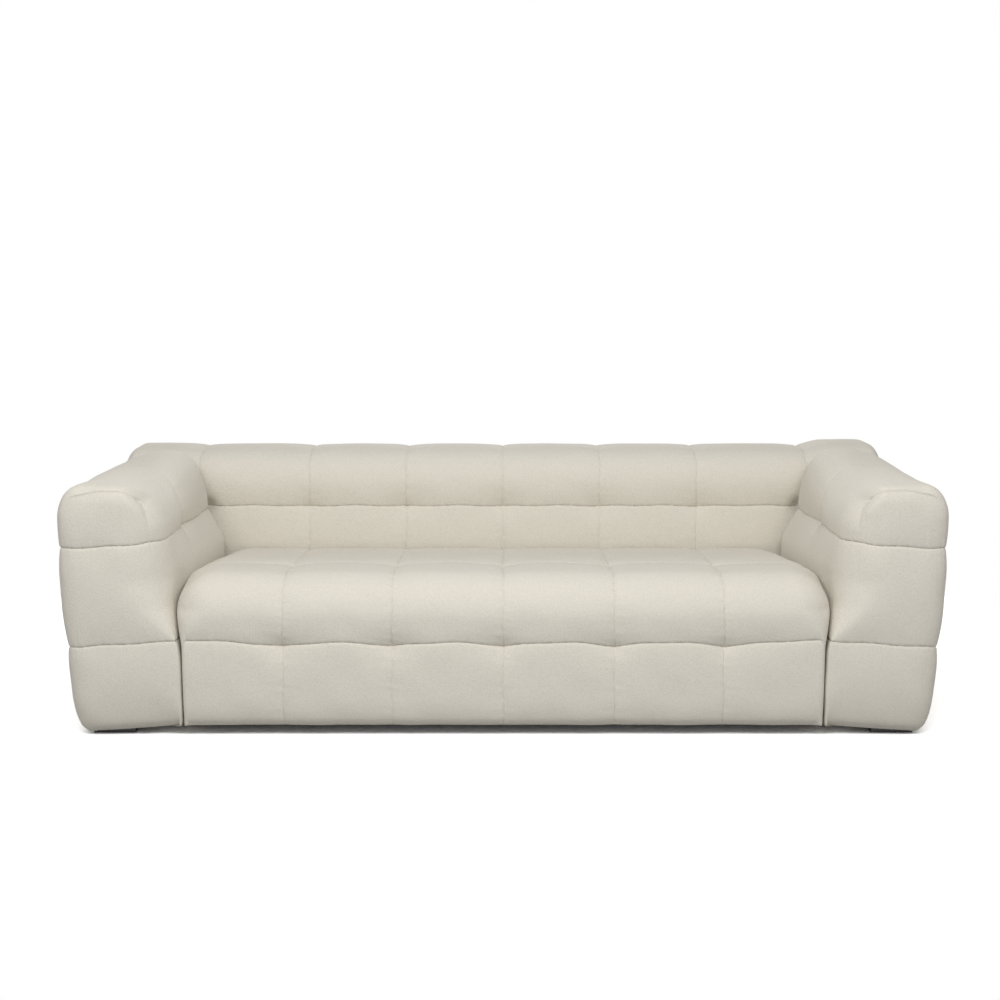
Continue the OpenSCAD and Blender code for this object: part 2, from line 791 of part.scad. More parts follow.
module back_webbing_across() {
    rows = floor((back_top_z - lumbar_z) / (web_w + web_gap));
    pitch = (back_top_z - lumbar_z) / rows;
    color(cloth_black)
        for (i = [0 : rows - 1])
            translate([-back_frame_x, web_y, lumbar_z + pitch * (i + 0.5) - web_w / 2])
                cube([2 * back_frame_x, web_t, web_w]);
}

module back_dust_cover() {
    color(cloth_black)
        difference() {
            box([-back_pad_x, back_pad_y, under_z], [back_pad_x, back_pad_rear_y, frame_z]);
            for (x = [-foot_middle_x, 0, foot_middle_x])
                screw_holes(x - foot_w / 2, foot_rear_y, screw_r + hole_gap);
        }
}

// Arms, drawn on the right and mirrored for the left

// How far the inner face leans out at each height, at the front and at the rear, and the outer face
arm_lean_zs = [0, arm_low_seam_z, 0.52 * arm_h, 0.64 * arm_h, arm_high_seam_z, 0.9 * arm_h, arm_h];
arm_front_shares = [0, 0.08, 0.31, 0.42, 0.53, 0.77, 1];
arm_rear_shares = [0, 0, -0.25, -0.25, 0.45, 0.77, 1];
arm_taper_shares = [1, 0.55, 0.14, 0, 0, 0, 0];
arm_steps_up = [0 : len(arm_lean_zs) - 1];
arm_front_lean = [for (i = arm_steps_up) [arm_lean_zs[i], arm_lean * arm_front_shares[i]]];
arm_rear_lean = [for (i = arm_steps_up) [arm_lean_zs[i], arm_lean * arm_rear_shares[i]]];
arm_out_lean = [for (i = arm_steps_up) [arm_lean_zs[i], -arm_taper * arm_taper_shares[i]]];

// For an arm lying along x with its outer side to the front. Its hem rises towards the seat
arm_lean_at = function (p)
    let (
        inner = 1 - (-p.y - arm_in_x) / arm_w,
        out = lean_between(arm_front_lean, arm_rear_lean, p.z, p.x),
        low = max((arm_low_seam_z - p.z) / (arm_low_seam_z - arm_hem_z), 0)
    )
    [
        p.x,
        p.y - out * inner - lookup(p.z, arm_out_lean) * (1 - inner),
        p.z + (floor_gap - arm_hem_z) * inner * low
    ];

module arm_space(y0, y1, z0) {
    r = arm_roll_r - quilt_t;
    along(y0, y1)
        polygon(crown_outline(arm_pad_in_x, arm_pad_out_x, z0, arm_h - quilt_t, [r, r], [r, r]));
}

module right_arm_cover() {
    // drawn lying along the width, then turned a quarter round to the right
    lo = [front_y, -sofa_w / 2, arm_hem_z];
    hi = [joint_y - fabric_gap, -arm_in_x - fabric_gap, arm_h];
    cross_x = front_y + arm_cross_d;
    color(boucle)
        difference() {
            rotate([0, 0, 90])
                padded_block(
                    lo, hi, [arm_nose_r, arm_roll_r], [joint_roll_r, arm_roll_r, arm_roll_r],
                    stations([lo.x, cross_x, hi.x], arm_steps.x),
                    stations([lo.y, hi.y], arm_steps.y),
                    stations([lo.z, arm_low_seam_z, arm_high_seam_z, hi.z], arm_steps.z),
                    [
                        open_seams(lo.x, [cross_x], hi.x),
                        [2 * lo.y - hi.y, 2 * hi.y - lo.y],
                        open_seams(lo.z, [arm_low_seam_z, arm_high_seam_z], hi.z)
                    ],
                    [[1, 0, 0]],
                    arm_lean_at,
                    crease_sink,
                    arm_hem
                );
            arm_space(pad_front_y, pad_joint_y, 0);
            hole_y(arm_middle_x, pad_joint_y - overrun, joint_y + overrun, bolt_z, bolt_r + cover_hole_gap);
            for (y = side_bolt_ys)
                hole_x(arm_in_x - overrun, arm_pad_in_x + overrun, y, bolt_z, bolt_r + cover_hole_gap);
        }
}

module right_arm_foam() {
    color(foam_yellow)
        difference() {
            arm_space(pad_front_y, pad_joint_y, frame_z);
            box(
                [arm_frame_in_x, arm_frame_y, frame_z - overrun],
                [arm_frame_out_x, pad_joint_y + overrun, arm_frame_z]
            );
            for (y = side_bolt_ys)
                hole_x(arm_pad_in_x - overrun, arm_frame_in_x + overrun, y, bolt_z, bolt_r + cover_hole_gap);
        }
}

// An arm's side panel with a cut-out in each bay, x0 is its inner face
module arm_panel(x0) {
    window_d = arm_bay_d - ply_t - 2 * window_r;
    window_h = arm_panel_h * window_share;
    window_z = arm_frame_z - ply_t - window_r - window_h / 2;
    across(x0, x0 + ply_t)
        difference() {
            translate([arm_frame_y, arm_floor_z])
                square([arm_frame_d, arm_panel_h]);
            for (i = [0 : spreader_count - 2])
                translate([arm_frame_y + ply_t / 2 + arm_bay_d * (i + 0.5), window_z])
                    rounded_window(window_d, window_h);
        }
}

module rounded_window(w, h) {
    square([w - 2 * window_r, h], center = true);
    square([w, h - 2 * window_r], center = true);
    for (i = [-1, 1], j = [-1, 1])
        translate([i * (w / 2 - window_r), j * (h / 2 - window_r)])
            circle(r = window_r, $fn = round_fn);
}

module right_arm_outer_panel() {
    color(birch)
        arm_panel(arm_frame_out_x - ply_t);
}

module right_arm_inner_panel() {
    face_x = arm_frame_in_x + ply_t;
    color(birch)
        difference() {
            arm_panel(arm_frame_in_x);
            for (y = side_bolt_ys) {
                hole_x(arm_frame_in_x - overrun, face_x + overrun, y, bolt_z, bolt_r + hole_gap);
                hole_x(
                    face_x - nut_barrel_l - touch_gap, face_x + overrun, y, bolt_z, nut_barrel_r + touch_gap
                );
            }
        }
}

module right_arm_top_board() {
    color(birch)
        box(
            [arm_frame_in_x, arm_frame_y, arm_frame_z - ply_t],
            [arm_frame_out_x, pad_joint_y, arm_frame_z]
        );
}

module right_arm_base_board() {
    color(birch)
        difference() {
            box([arm_frame_in_x, arm_frame_y, frame_z], [arm_frame_out_x, pad_joint_y, arm_floor_z]);
            screw_holes(foot_x, foot_front_y, screw_r + touch_gap);
        }
}

module right_arm_spreaders() {
    color(birch)
        for (i = [0 : spreader_count - 1])
            difference() {
                translate([arm_frame_in_x + ply_t, arm_frame_y + arm_bay_d * i, 0])
                    box([0, 0, arm_floor_z], [arm_frame_w - 2 * ply_t, ply_t, arm_frame_z - ply_t]);
                hole_y(
                    arm_middle_x, front_y, joint_y, arm_floor_z + arm_panel_h * window_share,
                    arm_frame_w * spreader_hole_share
                );
                hole_y(arm_middle_x, pad_joint_y - ply_t - overrun, joint_y, bolt_z, bolt_r + hole_gap);
            }
}

module right_arm_dust_cover() {
    color(cloth_black)
        difference() {
            box([arm_pad_in_x, pad_front_y, under_z], [arm_pad_out_x, pad_joint_y, frame_z]);
            screw_holes(foot_x, foot_front_y, screw_r + hole_gap);
        }
}

module left_arm_cover() {
    color(boucle)
        mirrored()
            right_arm_cover();
}

module left_arm_foam() {
    color(foam_yellow)
        mirrored()
            right_arm_foam();
}

module left_arm_outer_panel() {
    color(birch)
        mirrored()
            right_arm_outer_panel();
}

module left_arm_inner_panel() {
    color(birch)
        mirrored()
            right_arm_inner_panel();
}

module left_arm_top_board() {
    color(birch)
        mirrored()
            right_arm_top_board();
}

module left_arm_base_board() {
    color(birch)
        mirrored()
            right_arm_base_board();
}

module left_arm_spreaders() {
    color(birch)
        mirrored()
            right_arm_spreaders();
}

module left_arm_dust_cover() {
    color(cloth_black)
        mirrored()
            right_arm_dust_cover();
}

// Feet: [x, y] of each foot's left front corner
front_right_foot_at = [foot_x, foot_front_y];
front_left_foot_at = [-foot_x - foot_w, foot_front_y];
rear_right_foot_at = [foot_x, foot_rear_y];
rear_left_foot_at = [-foot_x - foot_w, foot_rear_y];
rear_centre_foot_at = [-foot_w / 2, foot_rear_y];
seat_right_foot_at = [stretcher_x - foot_w / 2, seat_foot_y];
seat_left_foot_at = [-stretcher_x - foot_w / 2, seat_foot_y];
feet_at = [
    front_right_foot_at, front_left_foot_at, rear_right_foot_at, rear_left_foot_at,
    rear_centre_foot_at, seat_right_foot_at, seat_left_foot_at
];

// Holes for the two screws over a foot, through what lies on it
module screw_holes(x, y, r) {
    for (off = [-screw_off, screw_off])
        translate([x + foot_w / 2, y + foot_d / 2 + off, under_z - foot_roof_t - overrun])
            cylinder(r = r, h = foot_roof_t + overrun + cloth_t + screw_reach, $fn = round_fn);
}

module foot(at) {
    difference() {
        box([at.x, at.y, 0], [at.x + foot_w, at.y + foot_d, under_z]);
        screw_holes(at.x, at.y, screw_r + touch_gap);
        for (off = [-screw_off, screw_off])
            translate([at.x + foot_w / 2, at.y + foot_d / 2 + off, -overrun])
                cylinder(r = recess_r, h = under_z - foot_roof_t + overrun, $fn = round_fn);
    }
}

module front_right_foot() {
    color(cloth_black)
        foot(front_right_foot_at);
}

module front_left_foot() {
    color(cloth_black)
        foot(front_left_foot_at);
}

module rear_right_foot() {
    color(cloth_black)
        foot(rear_right_foot_at);
}

module rear_left_foot() {
    color(cloth_black)
        foot(rear_left_foot_at);
}

module rear_centre_foot() {
    color(cloth_black)
        foot(rear_centre_foot_at);
}

module seat_right_foot() {
    color(cloth_black)
        foot(seat_right_foot_at);
}

module seat_left_foot() {
    color(cloth_black)
        foot(seat_left_foot_at);
}

module foot_screws() {
    color(zinc)
        for (at = feet_at, off = [-screw_off, screw_off])
            translate([at.x + foot_w / 2, at.y + foot_d / 2 + off, under_z - foot_roof_t]) {
                translate([0, 0, -screw_head_t])
                    cylinder(r = screw_head_r, h = screw_head_t, $fn = round_fn);
                cylinder(r = screw_r, h = foot_roof_t + cloth_t + screw_reach - touch_gap, $fn = round_fn);
            }
}

// A bolt through a seat side and an arm, or through a joint with the back. l is its length under its head
module bolt(l) {
    translate([0, 0, -bolt_head_t])
        cylinder(r = bolt_head_r, h = bolt_head_t, $fn = round_fn);
    cylinder(r = bolt_r, h = l, $fn = round_fn);
}

module tee_nut() {
    difference() {
        union() {
            translate([0, 0, -nut_barrel_l])
                cylinder(r = nut_barrel_r, h = nut_barrel_l, $fn = round_fn);
            cylinder(r = nut_flange_r, h = nut_flange_t, $fn = round_fn);
        }
        translate([0, 0, -nut_barrel_l - overrun])
            cylinder(r = bolt_r + touch_gap, h = nut_barrel_l + nut_flange_t + 2 * overrun, $fn = round_fn);
    }
}

module module_bolts() {
    nut_y = back_rail_y + rail_t;
    nut_x = arm_frame_in_x + ply_t;
    color(zinc) {
        for (x = seat_back_bolt_xs)
            translate([x, seat_rear_rail_y, bolt_z])
                rotate([-90, 0, 0])
                    bolt(nut_y + bolt_spare - seat_rear_rail_y);
        for (x = [-arm_middle_x, arm_middle_x])
            translate([x, pad_joint_y - ply_t, bolt_z])
                rotate([-90, 0, 0])
                    bolt(nut_y + bolt_spare - pad_joint_y + ply_t);
        for (side = [0, 1], y = side_bolt_ys)
            mirror([side, 0, 0])
                translate([seat_rail_x, y, bolt_z])
                    rotate([0, 90, 0])
                        bolt(nut_x + bolt_spare - seat_rail_x);
    }
}

module tee_nuts() {
    color(zinc) {
        for (x = back_bolt_xs)
            translate([x, back_rail_y + rail_t, bolt_z])
                rotate([-90, 0, 0])
                    tee_nut();
        for (side = [0, 1], y = side_bolt_ys)
            mirror([side, 0, 0])
                translate([arm_frame_in_x + ply_t, y, bolt_z])
                    rotate([0, 90, 0])
                        tee_nut();
    }
}

seat_cover();
seat_comfort_foam();
seat_core_foam();
seat_felt();
seat_springs();
spring_clips();
spring_tie_wires();
seat_front_rail();
seat_rear_rail();
seat_left_rail();
seat_right_rail();
seat_stretchers();
seat_corner_blocks();
seat_front_pad();
seat_dust_cover();
back_cover();
back_front_foam();
back_rear_foam();
back_top_foam();
back_end_pads();
back_base_board();
back_top_rail();
back_lumbar_rail();
back_lower_rail();
back_ribs();
back_rear_panel();
back_webbing_across();
back_webbing_upright();
back_dust_cover();
left_arm_cover();
left_arm_foam();
left_arm_outer_panel();
left_arm_inner_panel();
left_arm_top_board();
left_arm_base_board();
left_arm_spreaders();
left_arm_dust_cover();
right_arm_cover();
right_arm_foam();
right_arm_outer_panel();
right_arm_inner_panel();
right_arm_top_board();
right_arm_base_board();
right_arm_spreaders();
right_arm_dust_cover();
front_left_foot();
front_right_foot();
rear_left_foot();
rear_right_foot();
rear_centre_foot();
seat_left_foot();
seat_right_foot();
foot_screws();
module_bolts();
tee_nuts();
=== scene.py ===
import math
import bmesh
import bpy
import numpy as np
from mathutils import Euler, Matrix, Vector


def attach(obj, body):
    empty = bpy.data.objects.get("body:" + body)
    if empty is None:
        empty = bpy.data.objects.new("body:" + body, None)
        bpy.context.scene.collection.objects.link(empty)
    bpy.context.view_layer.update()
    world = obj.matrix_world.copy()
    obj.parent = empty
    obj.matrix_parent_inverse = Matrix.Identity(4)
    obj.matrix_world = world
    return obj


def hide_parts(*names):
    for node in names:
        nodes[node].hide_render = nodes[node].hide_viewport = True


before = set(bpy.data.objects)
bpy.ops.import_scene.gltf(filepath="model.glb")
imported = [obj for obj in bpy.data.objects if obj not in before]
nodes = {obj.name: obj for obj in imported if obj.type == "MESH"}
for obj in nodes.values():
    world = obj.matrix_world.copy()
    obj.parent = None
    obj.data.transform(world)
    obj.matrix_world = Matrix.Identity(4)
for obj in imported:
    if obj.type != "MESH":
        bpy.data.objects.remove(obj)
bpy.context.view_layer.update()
scene = bpy.context.scene
mm = 0.001
tiny = 1e-6


def linear(hexColour):
    channels = [int(hexColour[i:i + 2], 16) / 255 for i in (1, 3, 5)]
    return [c / 12.92 if c <= 0.04045 else ((c + 0.055) / 1.055) ** 2.4 for c in channels] + [1]


# adds a node with its settings, and sockets that hold a value or another node's output
def addNode(tree, kind, settings=None, sockets=None):
    node = tree.nodes.new(kind)
    for name, value in (settings or {}).items():
        setattr(node, name, value)
    for name, value in (sockets or {}).items():
        if isinstance(value, bpy.types.NodeSocket):
            tree.links.new(value, node.inputs[name])
        else:
            node.inputs[name].default_value = value
    return node


def newMaterial(name):
    material = bpy.data.materials.new(name)
    material.use_nodes = True
    material.node_tree.nodes.clear()
    return material, material.node_tree


def finishMaterial(tree, surface):
    addNode(tree, "ShaderNodeOutputMaterial", sockets={"Surface": surface.outputs["BSDF"]})


def newObject(name, data):
    thing = bpy.data.objects.new(name, data)
    scene.collection.objects.link(thing)
    return thing


# Camera, from the seams, feet and outline of the photograph.
cameraFit = {
    "place": (-0.0095, -4.789, 1.2846),
    "tilt": 81.886,          # degrees up from straight down
    "lens": 56.41,
    "sensor": 36,            # mm, for a square picture
    "farthest": 200,
}
camera = newObject("camera", bpy.data.cameras.new("camera"))
camera.location = cameraFit["place"]
camera.rotation_euler = Euler((math.radians(cameraFit["tilt"]), 0, 0))
camera.data.lens = cameraFit["lens"]
camera.data.sensor_width = cameraFit["sensor"]
camera.data.clip_end = cameraFit["farthest"]
scene.camera = camera
print("camera placed")


# Padded modules. Each is a block cut at its seams, divided evenly, rounded over its edges, drawn in along
# its seams and tufts, and then leaned and raked as the real one is.
padding = {
    "spacing": 13 * mm,           # of the cloth, before its subdivision
    "loops": (3 * mm, 8 * mm),    # extra edge loops on both sides of a seam
    "tuftWide": 26 * mm,          # how far a tuft's dimple reaches
    "atTufts": 1.35,              # a seam's depth at its tufts, as a share of its sink
    "arching": 0.75,              # and how much of it is gone midway between them
    "drift": 1.5 * mm,            # how far a seam strays from its line
    "driftWaves": 38,             # radians for each metre
    "driftWide": 30 * mm,
    "lumps": 0.7 * mm,            # slow unevenness of the filling
    "seenFrom": 0.3,              # how far a skin turns from an axis before the seams across it show
    "curledFrom": 0.3,            # and from the vertical before the hem's curl moves it
    "archWide": 55 * mm,          # how far above and below a seam its arch reaches
    "underZ": 38.5 * mm,          # the closed underside, just over the dust covers
}
farOff = 9.0                      # the gap in metres where there is no seam

modules = {
    "seatUpholstery": {
        "kind": "seat",
        "node": "seat_cover",
        "low": (-0.899, -0.525, 0.032),
        "high": (0.899, 0.194, 0.456),
        "rollLow": (0.100, 0.120),
        "rollHigh": (0.100, 0.024, 0.120),
        "endRoll": 0.050,                     # how deep its ends drop behind the nose
        "noseTo": (-0.42, -0.30),             # where the nose's roll passes into the ends' one
        "slitRoll": 0.012,
        "slitBelow": (0.26, 0.37),
        "seams": ((-0.618, -0.312, 0, 0.312, 0.618), (-0.230,), (0.258,)),
        "sink": (5 * mm, 12 * mm, 14 * mm),   # depth of the seams across x, y and z
        "sinkOnTop": 9 * mm,                  # depth of the seams across x where they cross the top
        "broad": (28 * mm, 40 * mm, 34 * mm),    # how far the crown takes to rise from each
        "tuft": 11 * mm,
        "joints": ((-1, 0, 0), (1, 0, 0), (0, 1, 0)),
        "under": ((-0.865, -0.477), (0.865, 0.181)),
        "hem": (26 * mm, 80 * mm),            # how far it curls under, and from what height
        "rake": 35 * mm,                      # the top falls towards the back
        # its ends lean against the arms: shifts by height, at its front and rear
        "leanAt": (0.03, 0.258, 0.37, 0.456),
        "leanFront": (0, 0.002, 0.040, 0.043),
        "leanRear": (-0.002, -0.002, -0.018, -0.018),
        "leanFrom": 0.62,                     # how far from the middle the lean starts
        "arch": 15 * mm,                      # how far the border seam rises between tufts
        "endArch": 1.4,                       # and how much more in the end columns
    },
    "backUpholstery": {
        "kind": "back",
        "node": "back_cover",
        "low": (-1.250, 0.196, 0.020),
        "high": (1.250, 0.525, 0.733),
        "rollLow": (0.050, 0.112),
        "rollHigh": (0.050, 0.112, 0.112),
        "seams": ((-0.978, -0.624, -0.312, 0, 0.312, 0.624, 0.978), (), (0.268, 0.550)),
        "sink": (4 * mm, 0, 14 * mm),
        "sinkOnTop": 9 * mm,
        "broad": (24 * mm, 40 * mm, 40 * mm),
        "tuft": 8 * mm,
        "cornerRise": (3 * mm, 15 * mm),      # its left and right end columns stand higher
        "riseAbove": (0.58, 0.70),
        "risePast": (0.978, 1.048),
        "endLean": 14 * mm,                   # and lean in at the top
        "leanPast": (1.07, 1.21),
        "pit": (0.948, 0.556),                # a hollow where three modules meet
        "pitDeep": 18 * mm,
        "pitWide": 18 * mm,
        "joints": (),
        "under": ((-1.202, 0.244), (1.202, 0.477)),
        "hem": (30 * mm, 90 * mm),
        "arch": 4 * mm,
    },
    "rightArmUpholstery": {
        "kind": "arm",
        "node": "right_arm_cover",
        "low": (0.901, -0.525, 0.010),
        "high": (1.241, 0.194, 0.715),
        "rollLow": (0.150, 0.130),
        "rollHigh": (0.074, 0.034, 0.140),
        # shares across the arm run from 0 on its inner side to 1 on its outer side
        "frontRoll": 0.038,                   # of its front on the outer side
        "frontRollAcross": (0.44, 0.75),
        "tightAbove": (0.62, 0.70),           # the top roll's front is tight right across
        "tightAcross": (0.04, 0.30),
        "outerTopRoll": 0.088,
        "frontTopRoll": 0.044,                # over the middle of its front, which is boxy
        "boxyTo": -0.38,
        "boxyAcross": ((0, 0.3), (0.86, 0.60)),
        "slitRoll": 0.012,
        "slitBelow": (0.27, 0.44),
        "seams": ((), (-0.070,), (0.268, 0.545)),
        "sink": (0, 9 * mm, 13 * mm),
        "sinkOnTop": 9 * mm,
        "broad": (40 * mm, 36 * mm, 36 * mm),
        "tuft": 13 * mm,
        "joints": ((0, 1, 0),),
        "under": ((1.003, -0.477), (1.167, 0.181)),
        "hem": (40 * mm, 110 * mm),
        "hemFacingSeat": 0.15,                # how much of the curl is left where it faces the seat
        "hemRise": 19 * mm,                   # the hem rises towards the seat
        "hemRiseAcross": (1.250, 0.901),
        "hemRisePower": 1.4,
        "arch": 0,
        "rearRise": 56 * mm,                  # its inner side meets the back level
        "rearFrom": (-0.20, 0.10),
        "rearAbove": 120 * mm,                # over this height above the upper seam
        "riseTo": 1.0,                        # and how far across the rise reaches
        "seamTilt": (20 * mm, 15 * mm),       # its seams slope down to the outer side
        "tiltAbout": 0.45,
        "tiltWide": 60 * mm,
        "crossDeep": 2.0 * mm,                # of its cross seam's stitching
        "crossOnTop": 0.35,                   # how much of it shows over the top
        "crossAbove": (0.56, 0.50),           # and where it ends on the inner side
        "crossShift": -0.055,                 # how far it strays to the front on the inner side
        "crossFrom": -0.43,
        # the arm leans outwards: shifts of its inner face by height, at its front and rear, and of its
        # outer face
        "leanAt": (0.0, 0.258, 0.37, 0.46, 0.545, 0.64, 0.715),
        "leanFront": (0, 0.002, 0.040, 0.042, 0.044, 0.050, 0.064),
        "leanRear": (0, 0, -0.016, -0.016, 0.029, 0.049, 0.064),
        "leanOut": (-0.036, -0.014, -0.006, -0.002, 0, -0.003, -0.008),
    },
}
modules["leftArmUpholstery"] = dict(modules["rightArmUpholstery"])
modules["leftArmUpholstery"].update({
    "node": "left_arm_cover",
    "low": (-1.244, -0.525, 0.010),
    "high": (-0.901, 0.194, 0.713),
    "rollLow": (0.074, 0.130),
    "rollHigh": (0.150, 0.034, 0.140),
    "under": ((-1.167, -0.477), (-1.003, 0.181)),
    "hemRiseAcross": (-1.250, -0.901),
    "crossDeep": 0.6 * mm,
    "riseTo": 0.8,
    "crossShift": -0.13,
})


# from 0 at one value to 1 at another, and level beyond them
def ramp(values, zeroAt, oneAt):
    return np.clip((values - zeroAt) / (oneAt - zeroAt), 0, 1)


# the same with a soft start and end
def smooth(share):
    return share ** 2 * (3 - 2 * share)


# 1 in the middle, and fading out both ways
def bell(gap, wide):
    return np.exp(-(gap / wide) ** 2)


# a block with an edge loop on every seam and even quads between them
def seamedBlock(form):
    low, high = Vector(form["low"]), Vector(form["high"])
    bm = bmesh.new()
    bmesh.ops.create_cube(bm, size=1)
    bmesh.ops.scale(bm, vec=high - low, verts=bm.verts)
    bmesh.ops.translate(bm, vec=(low + high) / 2, verts=bm.verts)
    beside = [-off for off in reversed(padding["loops"])] + [0] + list(padding["loops"])
    creases = {1: (low[1], 1), 2: (high[2], -1)} if form["kind"] == "arm" else {}
    for axis in range(3):
        normal = Vector((0, 0, 0))
        normal[axis] = 1
        places = [seam + off for seam in form["seams"][axis] for off in beside]
        if axis < 2:
            places += [corner[axis] for corner in form["under"]]
        if axis in creases:                   # and beside an arm's crease
            edge, turn = creases[axis]
            places += [edge + turn * off for off in padding["loops"]]
        for place in places:
            bmesh.ops.bisect_plane(bm, geom=bm.verts[:] + bm.edges[:] + bm.faces[:], dist=tiny,
                                   plane_co=normal * place, plane_no=normal)
    for axis in range(3):
        rings = {}
        for edge in bm.edges:
            along = edge.verts[1].co - edge.verts[0].co
            if abs(along[axis]) > tiny:
                rings.setdefault(max(round(along.length / padding["spacing"]), 1) - 1, []).append(edge)
        for cuts, edges in rings.items():
            if cuts:
                bmesh.ops.subdivide_edges(bm, edges=edges, cuts=cuts, use_grid_fill=True)
    return bm


# how far each point lies from the nearest seam of one axis, and on which side of which seam
def seamGaps(places, seams):
    if not seams:
        return np.full(len(places), farOff), np.zeros(len(places))
    offs = places[:, None] - np.array(seams)[None, :]
    nearest = np.abs(offs).argmin(1)
    off = offs[np.arange(len(places)), nearest]
    return np.abs(off), nearest * 2.0 + (off > 0)


# 0 on an arm's inner side and 1 on its outer side
def outerShare(box, form):
    near, far = sorted((abs(form["low"][0]), abs(form["high"][0])))
    return ramp(np.abs(box[:, 0]), near, far)


# 1 where an arm's skin faces the seat
def facingSeat(box, out):
    return np.clip(-np.sign(box[:, 0]) * out[:, 0], 0, 1)


# beside the slit between seat and arm the corners are tight, and they open above it
def tightBySlit(rolls, above, form):
    for roll in rolls:
        roll[:] = form["slitRoll"] + (roll - form["slitRoll"]) * above


def seatRolls(box, form, rollLow, rollHigh):
    above = ramp(box[:, 2], *form["slitBelow"])
    tightBySlit((rollLow[:, 0], rollHigh[:, 0], rollLow[:, 1]), above, form)
    rollHigh[:, 2] = np.interp(box[:, 1], form["noseTo"], (form["rollHigh"][2], form["endRoll"]))


def armRolls(box, form, rollLow, rollHigh):
    above = ramp(box[:, 2], *form["slitBelow"])
    outer = outerShare(box, form)
    tightBySlit((rollLow[:, 0] if form["low"][0] > 0 else rollHigh[:, 0],), above, form)
    front = np.interp(outer, form["frontRollAcross"], (form["rollLow"][1], form["frontRoll"]))
    tight = ramp(box[:, 2], *form["tightAbove"]) * ramp(outer, *form["tightAcross"])
    front += (form["frontRoll"] - front) * tight
    rollLow[:, 1] = front + (form["slitRoll"] - front) * (1 - above) * (1 - outer)
    top = form["rollHigh"][2] + (form["outerTopRoll"] - form["rollHigh"][2]) * outer
    boxy = ramp(box[:, 1], form["boxyTo"], form["low"][1])
    for across in form["boxyAcross"]:
        boxy = boxy * ramp(outer, *across)
    rollHigh[:, 2] = top + (form["frontTopRoll"] - top) * boxy


# how wide each edge is rounded, on the low and the high side of each axis. The underside isn't rounded
def edgeRolls(box, form):
    rollLow = np.tile(list(form["rollLow"]) + [1.0], (len(box), 1))
    rollHigh = np.tile(form["rollHigh"], (len(box), 1))
    if form["kind"] == "seat":
        seatRolls(box, form, rollLow, rollHigh)
    if form["kind"] == "arm":
        armRolls(box, form, rollLow, rollHigh)
    return rollLow, rollHigh


# the box points brought in onto rounded edges, and their outward directions
def roundOver(box, form):
    low, high = np.array(form["low"]), np.array(form["high"])
    rollLow, rollHigh = edgeRolls(box, form)
    inner = np.minimum(np.maximum(box, low + rollLow), high - rollHigh)
    inner[:, 2] = np.minimum(box[:, 2], high[2] - rollHigh[:, 2])
    roll = np.where(box < inner, rollLow, rollHigh)
    away = (box - inner) / roll
    size = np.linalg.norm(away, axis=1)
    flat = size < 1e-9
    out = away / np.maximum(size, 1e-9)[:, None]
    out[flat] = (0, 0, -1)
    place = np.where(flat[:, None], box, inner + out * roll)
    return place, out


# how level a channel lies at each point: 0 on a seam that crosses it and 1 midway, or at its open end
def archShare(places, seams, low, high):
    if not seams:
        return np.ones(len(places))
    ends = [2 * low - seams[0]] + list(seams) + [2 * high - seams[-1]]
    channel = np.clip(np.searchsorted(ends, places) - 1, 0, len(ends) - 2)
    ends = np.array(ends)
    t = np.clip((places - ends[channel]) / (ends[channel + 1] - ends[channel]), 0, 1)
    return 4 * t * (1 - t)


# 1 on the skin that is free to swell and 0 on a face that meets another module
def freeShare(out, form):
    free = np.ones(len(out))
    for joint in form["joints"]:
        free = np.minimum(free, 1 - np.clip(out @ np.array(joint, float), 0, 1) ** 4)
    return free


# how much an arm's cross seam shows: fully on the inner side of the top roll, little over its top, and not
# on the inner side below the roll
def crossShare(box, out, form):
    inward = facingSeat(box, out)
    share = form["crossOnTop"] + (1 - form["crossOnTop"]) * inward
    return share * (1 - inward * ramp(box[:, 2], *form["crossAbove"]))


# how deep the seams draw the skin in. One that crosses no other seam is as deep as midway between tufts
def channelDepth(box, out, gaps, arch, form):
    seen = 1 - out ** 2                       # a seam isn't on the face that it runs level with
    channels = np.zeros(len(box))
    for a in range(3):
        if not form["seams"][a]:
            continue
        level = np.ones(len(box))
        for b in range(3):
            if b != a and form["seams"][b]:
                level = np.minimum(level, np.where(seen[:, b] > padding["seenFrom"], arch[b], 1))
        sink = form["sink"][a]
        if a == 0:
            sink = sink + (form["sinkOnTop"] - sink) * np.clip(out[:, 2], 0, 1)
        if a == 1 and form["kind"] == "arm":
            sink = sink * crossShare(box, out, form)
        fade = np.exp(-gaps[a] / form["broad"][a])
        channels += (seen[:, a] * sink * fade * (padding["atTufts"] - padding["arching"] * level)) ** 3
    return np.cbrt(channels)


def tuftShare(out, gaps):
    seen = 1 - out ** 2
    tuft = np.zeros(len(out))
    for a, b in ((0, 1), (1, 2), (0, 2)):
        reach = np.hypot(gaps[a], gaps[b])
        tuft = np.maximum(tuft, seen[:, a] * seen[:, b] * np.exp(-reach / padding["tuftWide"]))
    return tuft


# the filling is never quite even: slow waves, in radians for each metre
def unevenness(box):
    x, y, z = box.T
    return (np.sin(23 * x + 31 * z + 1) * np.sin(29 * y + 17 * z)
            + np.sin(37 * x - 19 * y + 2) * np.sin(41 * z + 13 * x))


def pitDepth(box, out, form):
    reach = np.hypot(np.abs(box[:, 0]) - form["pit"][0], box[:, 2] - form["pit"][1])
    return form["pitDeep"] * bell(reach, form["pitWide"]) * np.clip(-out[:, 1], 0, 1)


# a seam strays a little from its line
def strayFromLines(place, box, out, gaps, free):
    for a in range(3):
        stray = padding["drift"] * np.sin(padding["driftWaves"] * box.sum(1) + 5 * a)
        stray = np.where(gaps[a] < farOff, stray * np.exp(-gaps[a] / padding["driftWide"]), 0)
        place[:, a] += stray * free * (1 - np.abs(out[:, a]))


